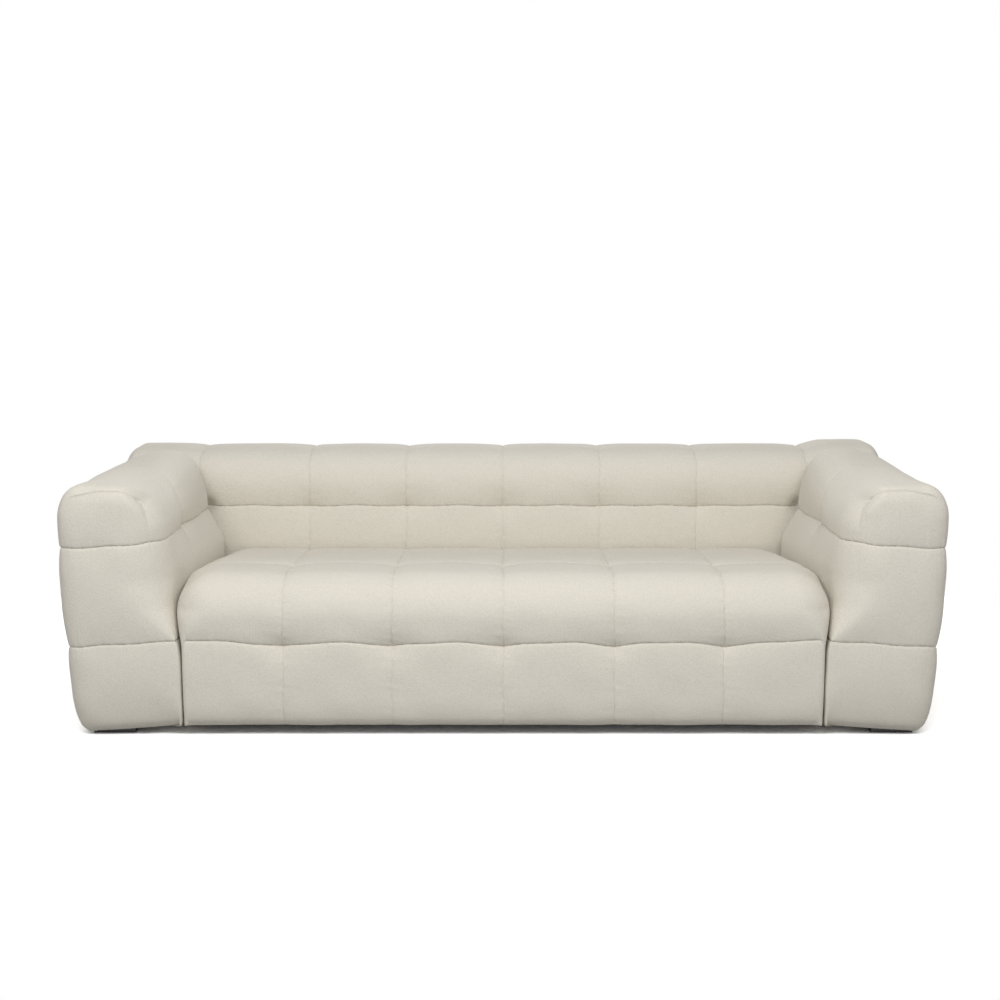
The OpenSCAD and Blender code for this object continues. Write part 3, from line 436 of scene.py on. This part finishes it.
# the hem curls under, but little where an arm faces the seat
def curlHem(place, box, out, free, form):
    hemIn, hemHigh = form["hem"]
    above = ramp(box[:, 2], form["low"][2], form["low"][2] + hemHigh)
    curl = hemIn * (1 - np.sqrt(1 - (1 - above) ** 2)) * free
    if form["kind"] == "arm":
        curl = curl * (1 - (1 - form["hemFacingSeat"]) * facingSeat(box, out))
    level = out * (1, 1, 0)
    reach = np.linalg.norm(level, axis=1)
    side = reach > padding["curledFrom"]
    place[side] -= level[side] * (curl[side] / reach[side])[:, None]


# how far a seat's end or an arm's inner face leans, at each point's height and depth
def leanBetween(place, form):
    share = ramp(place[:, 1], form["low"][1], form["high"][1])
    front = np.interp(place[:, 2], form["leanAt"], form["leanFront"])
    rear = np.interp(place[:, 2], form["leanAt"], form["leanRear"])
    return front * (1 - share) + rear * share


# the ends lean with the arms, and the top falls towards the back
def settleSeat(place, box, form):
    ends = ramp(np.abs(place[:, 0]), form["leanFrom"], form["high"][0]) ** 2
    place[:, 0] += np.sign(box[:, 0]) * leanBetween(place, form) * ends
    fall = ramp(box[:, 1], form["seams"][1][0], form["high"][1])
    place[:, 2] -= form["rake"] * fall * ramp(box[:, 2], form["seams"][2][0], form["high"][2])


# its end columns stand higher than the rest, and lean in
def settleBack(place, box, form):
    across = np.abs(box[:, 0])
    above = ramp(box[:, 2], *form["riseAbove"])
    rise = np.where(box[:, 0] < 0, *form["cornerRise"])
    place[:, 2] += rise * above * ramp(across, *form["risePast"])
    place[:, 0] -= np.sign(box[:, 0]) * form["endLean"] * ramp(across, *form["leanPast"]) * above ** 2


# an arm's seams stray and slope, its top rises to the rear, its hem rises to the seat, and it leans out
def settleArm(place, box, out, form):
    side = np.sign(box[:, 0])
    lean = leanBetween(place, form)
    outer = outerShare(place, form)
    crossY, (lowerZ, upperZ) = form["seams"][1][0], form["seams"][2]
    onSeam = smooth(np.interp(box[:, 1], (form["crossFrom"], crossY, form["high"][1]), (0, 1, 0)))
    inward = np.clip(0.5 - side * out[:, 0], 0, 1)    # half of it on top, and none on the outer side
    place[:, 1] += form["crossShift"] * onSeam * (1 - outer) ** 2 * inward
    for seamZ, tilt in zip((lowerZ, upperZ), form["seamTilt"]):
        place[:, 2] += tilt * (form["tiltAbout"] - outer) * bell(box[:, 2] - seamZ, form["tiltWide"])
    rear = smooth(ramp(box[:, 1], *form["rearFrom"])) * ramp(box[:, 2], upperZ, upperZ + form["rearAbove"])
    place[:, 2] += form["rearRise"] * rear * (1 - outer / form["riseTo"])
    lean = lean * (1 - outer) + np.interp(place[:, 2], form["leanAt"], form["leanOut"]) * outer
    place[:, 0] += side * lean
    rise = form["hemRise"] * ramp(box[:, 0], *form["hemRiseAcross"]) ** form["hemRisePower"]
    place[:, 2] += rise * ramp(box[:, 2], lowerZ, form["low"][2])


# the level seams rise between their tufts
def archSeams(place, box, out, arch, form):
    lift = form["arch"] * arch
    if "endArch" in form:
        lift = lift * np.where(np.abs(box[:, 0]) > form["seams"][0][-1], form["endArch"], 1)
    for seamZ in form["seams"][2]:
        place[:, 2] += lift * bell(box[:, 2] - seamZ, padding["archWide"]) * np.abs(out[:, 1])


def flatUnder(place, box, form):
    lowCorner, highCorner = np.array(form["under"])
    within = np.all((box[:, :2] > lowCorner - tiny) & (box[:, :2] < highCorner + tiny), axis=1)
    within &= box[:, 2] < form["low"][2] + tiny
    place[within] = box[within]
    place[within, 2] = padding["underZ"]


# the padded form of a block's points
def padShape(box, form):
    place, out = roundOver(box, form)
    gaps = [seamGaps(box[:, a], form["seams"][a])[0] for a in range(3)]
    arch = [archShare(box[:, a], form["seams"][a], form["low"][a], form["high"][a]) for a in range(3)]
    free = freeShare(out, form)
    draw = free * (channelDepth(box, out, gaps, arch, form) + form["tuft"] * tuftShare(out, gaps))
    draw += free * padding["lumps"] * unevenness(box)
    if "pit" in form:
        draw += pitDepth(box, out, form)
    place = place - out * draw[:, None]
    strayFromLines(place, box, out, gaps, free)
    curlHem(place, box, out, free, form)
    if form["kind"] == "seat":
        settleSeat(place, box, form)
    elif form["kind"] == "back":
        settleBack(place, box, form)
    else:
        settleArm(place, box, out, form)
    archSeams(place, box, out, arch[0], form)
    flatUnder(place, box, form)
    return place


def meshPoints(mesh):
    co = np.zeros(len(mesh.vertices) * 3)
    mesh.vertices.foreach_get("co", co)
    return co.reshape(-1, 3)


def movePoints(mesh, points):
    mesh.vertices.foreach_set("co", points.astype(np.float32).ravel())
    mesh.update()


pads = {}
for name, form in modules.items():
    bm = seamedBlock(form)
    mesh = bpy.data.meshes.new(name)
    bm.to_mesh(mesh)
    bm.free()
    box = meshPoints(mesh)
    kept = mesh.attributes.new("boxPlace", "FLOAT_VECTOR", "POINT")
    kept.data.foreach_set("vector", box.astype(np.float32).ravel())
    movePoints(mesh, padShape(box, form))
    pads[name] = newObject(name, mesh)
    print(name, "block of", len(mesh.polygons), "faces")


# each point's place on its block, kept with the mesh
def placesOnBlock(mesh):
    box = np.zeros(len(mesh.vertices) * 3, np.float32)
    mesh.attributes["boxPlace"].data.foreach_get("vector", box)
    return box.reshape(-1, 3).astype(float)


# Cloth. The cover is sewn down along its seams and hem, and pressure swells it between them.
cloth = {
    "frames": 18,
    "quality": 5,
    "pressure": 3.0,
    "hold": 0.05,            # how firmly the wadding holds the crowns
    "holdFrom": 90 * mm,     # from a seam to where the wadding holds fully
    "holdSteps": 40,
    "seamHeld": 1 * mm,
    "acrossUpTo": 0.8,       # a skin more square to an axis than this has no seams across it
    "jointFrom": (0.75, 0.90),    # how squarely a skin faces another module to be held by it
    "hemHeld": 30 * mm,
    "crownFrom": 60 * mm,    # from a seam to where the crown starts
    "crownAbove": 80 * mm,   # and from its lower edge up to where it keeps its size fully
    "most": 16 * mm,         # the furthest that a point may move
    "stiffness": 12.0,
    "bending": 5.0,
    "mass": 0.25,
}


# how firmly each point is held: 1 on a seam, a joint or the hem
def heldPoints(box, out, form):
    gaps = [seamGaps(box[:, a], form["seams"][a])[0] for a in range(3)]
    across = np.abs(out) < cloth["acrossUpTo"]
    near = np.min([np.where(across[:, a], gaps[a], farOff) for a in range(3)], axis=0)
    held = cloth["hold"] * np.clip(near / cloth["holdFrom"], 0, 1)
    held[near < cloth["seamHeld"]] = 1
    for joint in form["joints"]:
        held = np.maximum(held, ramp(out @ np.array(joint, float), *cloth["jointFrom"]))
    held[box[:, 2] < form["low"][2] + cloth["hemHeld"]] = 1
    return held, near


def addCloth(piece, held):
    sewn = piece.vertex_groups.new(name="sewn")
    steps = np.round(held * cloth["holdSteps"]).astype(int)
    for step in range(1, cloth["holdSteps"] + 1):
        sewn.add(np.nonzero(steps == step)[0].tolist(), step / cloth["holdSteps"], "REPLACE")
    modifier = piece.modifiers.new("cloth", "CLOTH")
    cover = modifier.settings
    cover.quality = cloth["quality"]
    cover.mass = cloth["mass"]
    cover.tension_stiffness = cloth["stiffness"]
    cover.compression_stiffness = cloth["stiffness"]
    cover.shear_stiffness = cloth["stiffness"] / 2
    cover.bending_stiffness = cloth["bending"]
    cover.vertex_group_mass = "sewn"
    cover.use_pressure = True
    cover.uniform_pressure_force = cloth["pressure"]
    cover.effector_weights.gravity = 0
    modifier.collision_settings.use_collision = False
    modifier.point_cache.frame_start = 1
    modifier.point_cache.frame_end = cloth["frames"]


# the block was measured with its cover on, so its crowns keep their size and its seams draw in
def keepCrowns(name, move, box, out, held, near):
    form = modules[name]
    crown = (near > cloth["crownFrom"]) & (held < 0.5)
    swell = (move[crown] * out[crown]).sum(1).mean()
    far = np.linalg.norm(move, axis=1)
    print(name, "moved %.1f mm at most, %.1f on average, swelled %.1f" %
          (far.max() / mm, far.mean() / mm, swell / mm))
    above = np.clip((box[:, 2] - form["low"][2]) / cloth["crownAbove"], 0, 1)
    move -= out * (swell * freeShare(out, form) * above)[:, None]
    far = np.linalg.norm(move, axis=1)
    move *= (cloth["most"] * np.tanh(far / cloth["most"]) / np.maximum(far, 1e-9))[:, None]


# where one module stands beside another it doesn't swell into it
clearOf = {
    "armInside": 1.0,        # the arm's inner face lies nearer to the middle than this
    "armBelow": 0.45,
    "backFront": 0.26,       # the back's front face lies before this
    "backBelow": 0.42,
    "backPast": 0.95,
}


def keepClear(kind, move, box):
    across = np.abs(box[:, 0])
    if kind == "arm":
        inward = -np.sign(box[:, 0])
        facing = (across < clearOf["armInside"]) & (box[:, 2] < clearOf["armBelow"])
        move[facing, 0] = inward[facing] * np.minimum(move[facing, 0] * inward[facing], 0)
    if kind == "back":
        facing = (box[:, 2] < clearOf["backBelow"]) | (across > clearOf["backPast"])
        facing &= box[:, 1] < clearOf["backFront"]
        move[facing, 1] = np.maximum(move[facing, 1], 0)


def settleCloth(names):
    start = {}
    for name in names:
        mesh = pads[name].data
        start[name] = meshPoints(mesh)
        box = placesOnBlock(mesh)
        addCloth(pads[name], heldPoints(box, roundOver(box, modules[name])[1], modules[name])[0])
    for step in range(1, cloth["frames"] + 1):
        scene.frame_set(step)
    graph = bpy.context.evaluated_depsgraph_get()
    for name in names:
        piece = pads[name]
        move = meshPoints(piece.evaluated_get(graph).data) - start[name]
        box = placesOnBlock(piece.data)
        out = roundOver(box, modules[name])[1]
        held, near = heldPoints(box, out, modules[name])
        keepCrowns(name, move, box, out, held, near)
        keepClear(modules[name]["kind"], move, box)
        piece.modifiers.clear()
        piece.vertex_groups.clear()
        movePoints(piece.data, start[name] + move)
    scene.frame_set(1)


# the seat's firm filling keeps its shape, so only the covers of the back and the arms are settled
settleCloth([name for name in pads if modules[name]["kind"] != "seat"])


# one level of subdivision, applied, keeping each point's place on the block
def subdivideOnce(piece):
    modifier = piece.modifiers.new("finer", "SUBSURF")
    modifier.levels = modifier.render_levels = 1
    finer = bpy.data.meshes.new_from_object(piece.evaluated_get(bpy.context.evaluated_depsgraph_get()))
    piece.modifiers.clear()
    old = piece.data
    piece.data = finer
    bpy.data.meshes.remove(old)
    finer.name = piece.name


# the arm's top roll: a raised crease along its front edge, with a tuck at the inner end. Its places across
# are measured from the sofa's middle
armRoll = {
    "crease": 3.5 * mm,
    "creaseWide": 4.42 * mm,
    "creaseInner": (0.938, 0.958),
    "creaseOuter": (1.215, 1.175),
    "tuck": 7 * mm,
    "tuckWide": 11 * mm,
    "tuckAt": 0.930,
}


# how far the crease and its tuck lie off the roll, outwards
def armCrease(box, form):
    across = np.abs(box[:, 0])
    fromEdge = np.hypot(box[:, 1] - form["low"][1], form["high"][2] - box[:, 2])
    ends = ramp(across, *armRoll["creaseInner"]) * ramp(across, *armRoll["creaseOuter"])
    reach = np.hypot(across - armRoll["tuckAt"], fromEdge)
    return (armRoll["crease"] * bell(fromEdge, armRoll["creaseWide"]) * ends
            - armRoll["tuck"] * bell(reach, armRoll["tuckWide"]))


# narrow seams and the puckers beside them, on the finer mesh
stitching = {
    "deep": (2.5 * mm, 3.5 * mm, 4.0 * mm),   # across x, y and z
    "wide": 1.8 * mm,
    "uneven": 0.5,                            # how much a seam's depth varies along it
    "unevenOver": (4.7 * mm, 13.1 * mm),
    "pucker": 0.4 * mm,
    "puckerFrom": 3 * mm,
    "puckerWide": 20 * mm,
    "waves": (19 * mm, 27 * mm, 41 * mm),     # lengths of the puckers along a seam
    "fan": 0.6 * mm,                          # folds that fan out from a tuft
    "fanWide": 20 * mm,
    "fanFolds": 9,
}


# the thread's groove along the seams of one axis
def threadGroove(box, seen, gap, side, a):
    along = box.sum(1) - box[:, a]
    short, slow = stitching["unevenOver"]
    wander = np.sin(along / short + 2 * a) * np.sin(along / slow + side // 2)
    return np.exp(-gap / stitching["wide"]) * seen * (1 + stitching["uneven"] * wander)


def seamPuckers(box, seen, gap, side, a):
    along = box.sum(1) - box[:, a]
    waves = sum(np.sin(2 * np.pi * along / length + 1.7 * side + i)
                for i, length in enumerate(stitching["waves"]))
    return (stitching["pucker"] * waves * seen * np.exp(-gap / stitching["puckerWide"])
            * (1 - np.exp(-gap / stitching["puckerFrom"])))


def tuftFolds(out, gaps, sides):
    folds = np.zeros(len(out))
    for a, b in ((0, 2), (1, 2), (0, 1)):
        reach = np.hypot(gaps[a], gaps[b]) / stitching["fanWide"]
        angle = np.arctan2(gaps[b], gaps[a])
        folds += (stitching["fan"] * np.cos(stitching["fanFolds"] * angle + sides[a] + 2 * sides[b])
                  * reach * np.exp(-reach) * (1 - out[:, a] ** 2) * (1 - out[:, b] ** 2))
    return folds


def sewSeams(piece, form):
    points = meshPoints(piece.data)
    box = placesOnBlock(piece.data)
    out = roundOver(box, form)[1]
    draw = np.zeros(len(points))
    pucker = np.zeros(len(points))
    gaps, sides = zip(*[seamGaps(box[:, a], form["seams"][a]) for a in range(3)])
    for a in range(3):
        if not form["seams"][a]:
            continue
        seen = 1 - out[:, a] ** 2
        deep = stitching["deep"][a]
        shown = 1
        if a == 1 and form["kind"] == "arm":
            deep = form["crossDeep"]
            shown = crossShare(box, out, form)
        draw = np.maximum(draw, deep * shown * threadGroove(box, seen, gaps[a], sides[a], a))
        pucker += seamPuckers(box, seen * shown, gaps[a], sides[a], a)
    pucker += tuftFolds(out, gaps, sides)
    if form["kind"] == "arm":
        draw -= armCrease(box, form)
    above = box[:, 2] > form["low"][2] + 0.1 * mm
    points -= out * ((draw + pucker) * freeShare(out, form) * above)[:, None]
    movePoints(piece.data, points)


# the underside inside the hem is one flat panel
def closeUnderside(piece):
    bm = bmesh.new()
    bm.from_mesh(piece.data)
    inside = [f for f in bm.faces if all(abs(v.co.z - padding["underZ"]) < tiny for v in f.verts)]
    panel = bmesh.ops.dissolve_faces(bm, faces=inside, use_verts=True)["region"]
    bmesh.ops.triangulate(bm, faces=panel)
    bm.to_mesh(piece.data)
    bm.free()


for name, piece in pads.items():
    subdivideOnce(piece)
    sewSeams(piece, modules[name])
    closeUnderside(piece)
    for polygon in piece.data.polygons:
        polygon.use_smooth = True
print("padding shaped")


def mixColours(tree, share, first, second):
    return addNode(tree, "ShaderNodeMix", {"data_type": "RGBA"}, {0: share, 6: first, 7: second}).outputs[2]


# Boucle: looped yarn on a knitted ground. It gives the eye small nubs and a soft matt bloom, and its colour
# holds painted shade: darker in the hollows between the loops, paler on their tips.
# Its loops are 2 to 4 mm, about one pixel of the picture.
def makeBoucle():
    look = {
        "tip": "#DBD6CB",
        # pit: painted shade, the darker colour of the hollows between the loops
        "pit": "#D1CCC0",
        "loop": 3.6 * mm,
        "strays": 6 * mm,        # how far the loops stray from their places
        "strayWaves": 90.0,      # for each metre
        "lumps": 0.4,
        "lumpWaves": 160.0,
        "bump": 0.8 * mm,
        "bumpStrength": 0.5,
        "roughness": 0.92,
        "sheen": 0.08,
        "specular": 0.12,
    }
    material, tree = newMaterial("creamBoucle")
    place = addNode(tree, "ShaderNodeTexCoord").outputs["Object"]
    drift = addNode(tree, "ShaderNodeTexNoise", sockets={
        "Vector": place, "Scale": look["strayWaves"], "Detail": 2.0})
    shift = addNode(tree, "ShaderNodeVectorMath", {"operation": "MULTIPLY_ADD"},
                    {0: drift.outputs["Color"], 1: (look["strays"],) * 3, 2: place})
    loops = addNode(tree, "ShaderNodeTexVoronoi", {"feature": "SMOOTH_F1"},
                    {"Vector": shift.outputs[0], "Scale": 1 / look["loop"], "Smoothness": 0.4})
    nub = addNode(tree, "ShaderNodeMapRange", sockets={
        0: loops.outputs["Distance"], 1: 0.1, 2: 0.75, 3: 1.0, 4: 0.0})
    lumps = addNode(tree, "ShaderNodeTexNoise", sockets={
        "Vector": place, "Scale": look["lumpWaves"], "Detail": 2.0})
    height = addNode(tree, "ShaderNodeMath", {"operation": "MULTIPLY_ADD"},
                     {0: lumps.outputs["Fac"], 1: look["lumps"], 2: nub.outputs[0]})
    bump = addNode(tree, "ShaderNodeBump", sockets={
        "Height": height.outputs[0], "Strength": look["bumpStrength"], "Distance": look["bump"]})
    # the base colour carries painted shade: the pit colour darkens the low hollows between the loops, and
    # the tips keep the paler tip colour
    shader = addNode(tree, "ShaderNodeBsdfPrincipled", sockets={
        "Base Color": mixColours(tree, nub.outputs[0], linear(look["pit"]), linear(look["tip"])),
        "Roughness": look["roughness"], "Normal": bump.outputs[0], "Sheen Weight": look["sheen"],
        "Sheen Roughness": 0.5, "Specular IOR Level": look["specular"]})
    finishMaterial(tree, shader)
    return material


# the object's own coordinates in metres, turned so that the length lies along x and the thickness along z
def turnedPlace(tree, long, thick, scale):
    parts = addNode(tree, "ShaderNodeSeparateXYZ",
                    sockets={0: addNode(tree, "ShaderNodeTexCoord").outputs["Object"]}).outputs
    turned = addNode(tree, "ShaderNodeCombineXYZ",
                     sockets={0: parts[long], 1: parts[3 - long - thick], 2: parts[thick]})
    return addNode(tree, "ShaderNodeVectorMath", {"operation": "MULTIPLY"},
                   {0: turned.outputs[0], 1: scale}).outputs[0]


def roughSurface(tree, colour, roughness, height, deep, metallic=0.0):
    bump = addNode(tree, "ShaderNodeBump", sockets={"Height": height, "Strength": 1.0, "Distance": deep})
    shader = addNode(tree, "ShaderNodeBsdfPrincipled", sockets={
        "Base Color": colour, "Roughness": roughness, "Metallic": metallic, "Normal": bump.outputs[0]})
    finishMaterial(tree, shader)


# long streaks of growth rings with fine fibres between them
def woodGrain(tree, long, thick, look):
    across = 1 / look["ring"]
    bands = addNode(tree, "ShaderNodeTexNoise", sockets={
        "Vector": turnedPlace(tree, long, thick, (1 / look["reach"], across, across)), "Scale": 1.0,
        "Detail": 3.0, "Distortion": 0.6})
    rings = addNode(tree, "ShaderNodeMapRange", sockets={0: bands.outputs["Fac"], 1: 0.38, 2: 0.62})
    fine = 1 / look["fibre"]
    fibres = addNode(tree, "ShaderNodeTexNoise", sockets={
        "Vector": turnedPlace(tree, long, thick, (0.03 * fine, fine, fine)), "Scale": 1.0, "Detail": 1.0})
    return rings.outputs[0], fibres.outputs["Fac"]


# Sawn pine. It gives the eye yellow wood with darker late growth in long bands, and a slightly furry face.
def makePine(long, thick):
    look = {"early": "#DDBE8C", "late": "#B98750", "ring": 9 * mm, "reach": 260 * mm, "fibre": 0.9 * mm}
    material, tree = newMaterial("sawnPine")
    rings, fibres = woodGrain(tree, long, thick, look)
    colour = mixColours(tree, rings, linear(look["early"]), linear(look["late"]))
    roughSurface(tree, colour, 0.75, fibres, 0.15 * mm)
    return material


# Birch plywood. It gives the eye pale figured faces, and edges striped by its glued plies.
def makePlywood(long, thick):
    look = {"pale": "#E1CCA2", "figure": "#CFB284", "dark": "#9E7648", "ply": 1.4 * mm, "ring": 26 * mm,
            "reach": 420 * mm, "fibre": 0.7 * mm}
    material, tree = newMaterial("birchPlywood")
    rings, fibres = woodGrain(tree, long, thick, look)
    face = mixColours(tree, rings, linear(look["pale"]), linear(look["figure"]))
    place = addNode(tree, "ShaderNodeTexCoord")
    height = addNode(tree, "ShaderNodeSeparateXYZ", sockets={0: place.outputs["Object"]}).outputs[thick]
    plies = addNode(tree, "ShaderNodeMath", {"operation": "PINGPONG"}, {0: height, 1: look["ply"]})
    stripe = addNode(tree, "ShaderNodeMapRange", sockets={
        0: plies.outputs[0], 1: 0.4 * look["ply"], 2: 0.6 * look["ply"]})
    edge = mixColours(tree, stripe.outputs[0], linear(look["dark"]), linear(look["pale"]))
    facing = addNode(tree, "ShaderNodeSeparateXYZ", sockets={0: place.outputs["Normal"]}).outputs[thick]
    level = addNode(tree, "ShaderNodeMath", {"operation": "ABSOLUTE"}, {0: facing})
    onFace = addNode(tree, "ShaderNodeMath", {"operation": "GREATER_THAN"}, {0: level.outputs[0], 1: 0.7})
    roughSurface(tree, mixColours(tree, onFace.outputs[0], edge, face), 0.6, fibres, 0.08 * mm)
    return material


# Elastic webbing. It gives the eye a narrow rib of lengthwise threads, crossed by fine picks.
def makeWebbing(long, thick):
    look = {"thread": "#B7A17D", "gap": "#6F5B3F", "rib": 2.4 * mm, "pick": 1.6 * mm}
    material, tree = newMaterial("elasticWebbing")
    turns = (2 * math.pi / look["pick"], 2 * math.pi / look["rib"], 0)
    parts = addNode(tree, "ShaderNodeSeparateXYZ",
                    sockets={0: turnedPlace(tree, long, thick, turns)}).outputs
    picks, ribs = [addNode(tree, "ShaderNodeMath", {"operation": "SINE"}, {0: part}).outputs[0]
                   for part in parts[:2]]
    weave = addNode(tree, "ShaderNodeMath", {"operation": "MULTIPLY_ADD"}, {0: picks, 1: 0.35, 2: ribs})
    share = addNode(tree, "ShaderNodeMapRange", sockets={0: weave.outputs[0], 1: -1.0, 2: 0.6})
    colour = mixColours(tree, share.outputs[0], linear(look["gap"]), linear(look["thread"]))
    roughSurface(tree, colour, 0.85, share.outputs[0], 0.3 * mm)
    return material


# one noise of real-size grains, between two colours
def makeGrained(name, first, second, grain, roughness, deep, metallic=0.0):
    material, tree = newMaterial(name)
    place = addNode(tree, "ShaderNodeTexCoord").outputs["Object"]
    noise = addNode(tree, "ShaderNodeTexNoise", sockets={"Vector": place, "Scale": 1 / grain, "Detail": 3.0})
    share = addNode(tree, "ShaderNodeMapRange", sockets={0: noise.outputs["Fac"], 1: 0.35, 2: 0.65})
    colour = mixColours(tree, share.outputs[0], linear(first), linear(second))
    roughSurface(tree, colour, roughness, noise.outputs["Fac"], deep, metallic)
    return material


# one field of round cells, dark in their middles
def makeCelled(name, rim, middle, cell, roughness, deep):
    material, tree = newMaterial(name)
    place = addNode(tree, "ShaderNodeTexCoord").outputs["Object"]
    cells = addNode(tree, "ShaderNodeTexVoronoi", sockets={"Vector": place, "Scale": 1 / cell})
    rise = addNode(tree, "ShaderNodeMapRange", sockets={0: cells.outputs["Distance"], 1: 0.1, 2: 0.6})
    colour = mixColours(tree, rise.outputs[0], linear(middle), linear(rim))
    roughSurface(tree, colour, roughness, rise.outputs[0], deep)
    return material


boucle = makeBoucle()
# Moulded polypropylene: black, half matt, with a spark-eroded grain.
footPlastic = makeGrained("mouldedPlastic", "#121212", "#1B1B1B", 0.7 * mm, 0.42, 0.04 * mm)
# Spunbond: black cloth, dull, pricked with bond dots.
dustCloth = makeCelled("spunbondCloth", "#1D1D1E", "#0E0E0F", 1.3 * mm, 0.85, 0.1 * mm)
# Open-cell foam: pale cream and matt, with pin-head cells.
foam = makeCelled("openCellFoam", "#E9E2CB", "#CFC6A8", 1.1 * mm, 0.95, 0.5 * mm)
# Needled felt: grey mixed fibres.
felt = makeGrained("needledFelt", "#6E6A66", "#A39E96", 2.2 * mm, 1.0, 0.8 * mm)
# Hardboard: brown pressed fibre with a faint mottle.
hardboard = makeGrained("hardboard", "#6B4A2C", "#8A6440", 1.8 * mm, 0.55, 0.08 * mm)
# Spring steel: dark oiled wire.
springSteel = makeGrained("oiledSpringSteel", "#4B4A49", "#6B6A68", 3 * mm, 0.34, 0.01 * mm, 1.0)
# Zinc plate: bright, faintly blue and mottled.
zincSteel = makeGrained("zincPlatedSteel", "#AEB4BA", "#C6CACE", 4 * mm, 0.3, 0.01 * mm, 1.0)

# the axis along which each wooden or woven piece runs, and the one along which it is thin
runs = {
    "back_base_board": "xz", "back_ribs": "zx", "back_lower_rail": "xz", "back_lumbar_rail": "xy",
    "back_top_rail": "xz", "back_webbing_across": "xy", "back_webbing_upright": "zy",
    "seat_front_rail": "xy", "seat_rear_rail": "xy", "seat_left_rail": "yx", "seat_right_rail": "yx",
    "seat_stretchers": "yx", "seat_corner_blocks": "zx",
}
for side in ("left", "right"):
    runs.update({
        side + "_arm_base_board": "yz", side + "_arm_top_board": "yz", side + "_arm_inner_panel": "yx",
        side + "_arm_outer_panel": "yx", side + "_arm_spreaders": "zy",
    })
plainFinishes = {
    "boucle": boucle, "foot_plastic": footPlastic, "dust_cloth": dustCloth, "foam": foam, "felt": felt,
    "hardboard": hardboard, "spring_steel": springSteel, "zinc_steel": zincSteel,
}
makers = {"pine": makePine, "plywood": makePlywood, "webbing": makeWebbing}
made = {}
for name, node in nodes.items():
    for slot in node.material_slots:
        kind = slot.material.name
        if kind in plainFinishes:
            slot.material = plainFinishes[kind]
            continue
        key = (kind, runs[name])
        if key not in made:
            long, thick = ["xyz".index(letter) for letter in runs[name]]
            made[key] = makers[kind](long, thick)
        slot.material = made[key]
print("materials for", len(nodes), "nodes")

for name, piece in pads.items():
    piece.data.materials.clear()
    piece.data.materials.append(boucle)
    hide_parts(modules[name]["node"])
    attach(piece, "root")


# Floor, light and background. The camera sees the white floor paler than it lights the object, so that
# only its shadow is grey.
studio = {
    "floorRadius": 2.3,
    "floorLit": 0.5,
    "floorSeen": 1.85,
    "skyLit": 0.42,
    "skySeen": 1.0,
}
softboxes = {
    "key": {"place": (-0.1, -2.3, 2.5), "aim": (0, -0.1, 0.4), "size": (4.2, 1.2), "power": 76},
    "front": {"place": (0, -5.2, 1.6), "aim": (0, 0, 0.4), "size": (4.0, 1.6), "power": 5},
    "rear": {"place": (0, 4.0, 1.5), "aim": (0, 0.5, 0.35), "size": (4.0, 1.6), "power": 70},
}


# one value for what lights the object, and another for what is seen directly, in a mirror or through glass
def seenOrLit(tree, lit, seen):
    rays = addNode(tree, "ShaderNodeLightPath").outputs
    share = rays["Is Camera Ray"]
    for kind in ("Is Glossy Ray", "Is Transmission Ray"):
        either = addNode(tree, "ShaderNodeMath", {"operation": "MAXIMUM"}, {0: share, 1: rays[kind]})
        share = either.outputs[0]
    return addNode(tree, "ShaderNodeMapRange", sockets={0: share, 3: lit, 4: seen}).outputs[0]


floorMesh = bpy.data.meshes.new("floor")
bm = bmesh.new()
bmesh.ops.create_circle(bm, cap_ends=True, radius=studio["floorRadius"], segments=96)
bm.to_mesh(floorMesh)
bm.free()
floor = newObject("floor", floorMesh)
material, tree = newMaterial("whiteFloor")
pale = seenOrLit(tree, studio["floorLit"], studio["floorSeen"])
finishMaterial(tree, addNode(tree, "ShaderNodeBsdfDiffuse", sockets={"Color": pale}))
floorMesh.materials.append(material)

world = bpy.data.worlds.new("studio")
scene.world = world
world.use_nodes = True
tree = world.node_tree
tree.nodes.clear()
level = seenOrLit(tree, studio["skyLit"], studio["skySeen"])
sky = addNode(tree, "ShaderNodeBackground", sockets={"Color": (1, 1, 1, 1), "Strength": level})
addNode(tree, "ShaderNodeOutputWorld", sockets={"Surface": sky.outputs[0]})

for name, softbox in softboxes.items():
    data = bpy.data.lights.new(name, "AREA")
    data.shape = "RECTANGLE"
    data.size, data.size_y = softbox["size"]
    data.energy = softbox["power"]
    lamp = newObject(name, data)
    lamp.location = softbox["place"]
    towards = Vector(softbox["aim"]) - Vector(softbox["place"])
    lamp.rotation_euler = towards.to_track_quat("-Z", "Y").to_euler()
    lamp.visible_camera = False
scene.view_settings.view_transform = "Standard"
print("floor and light placed")
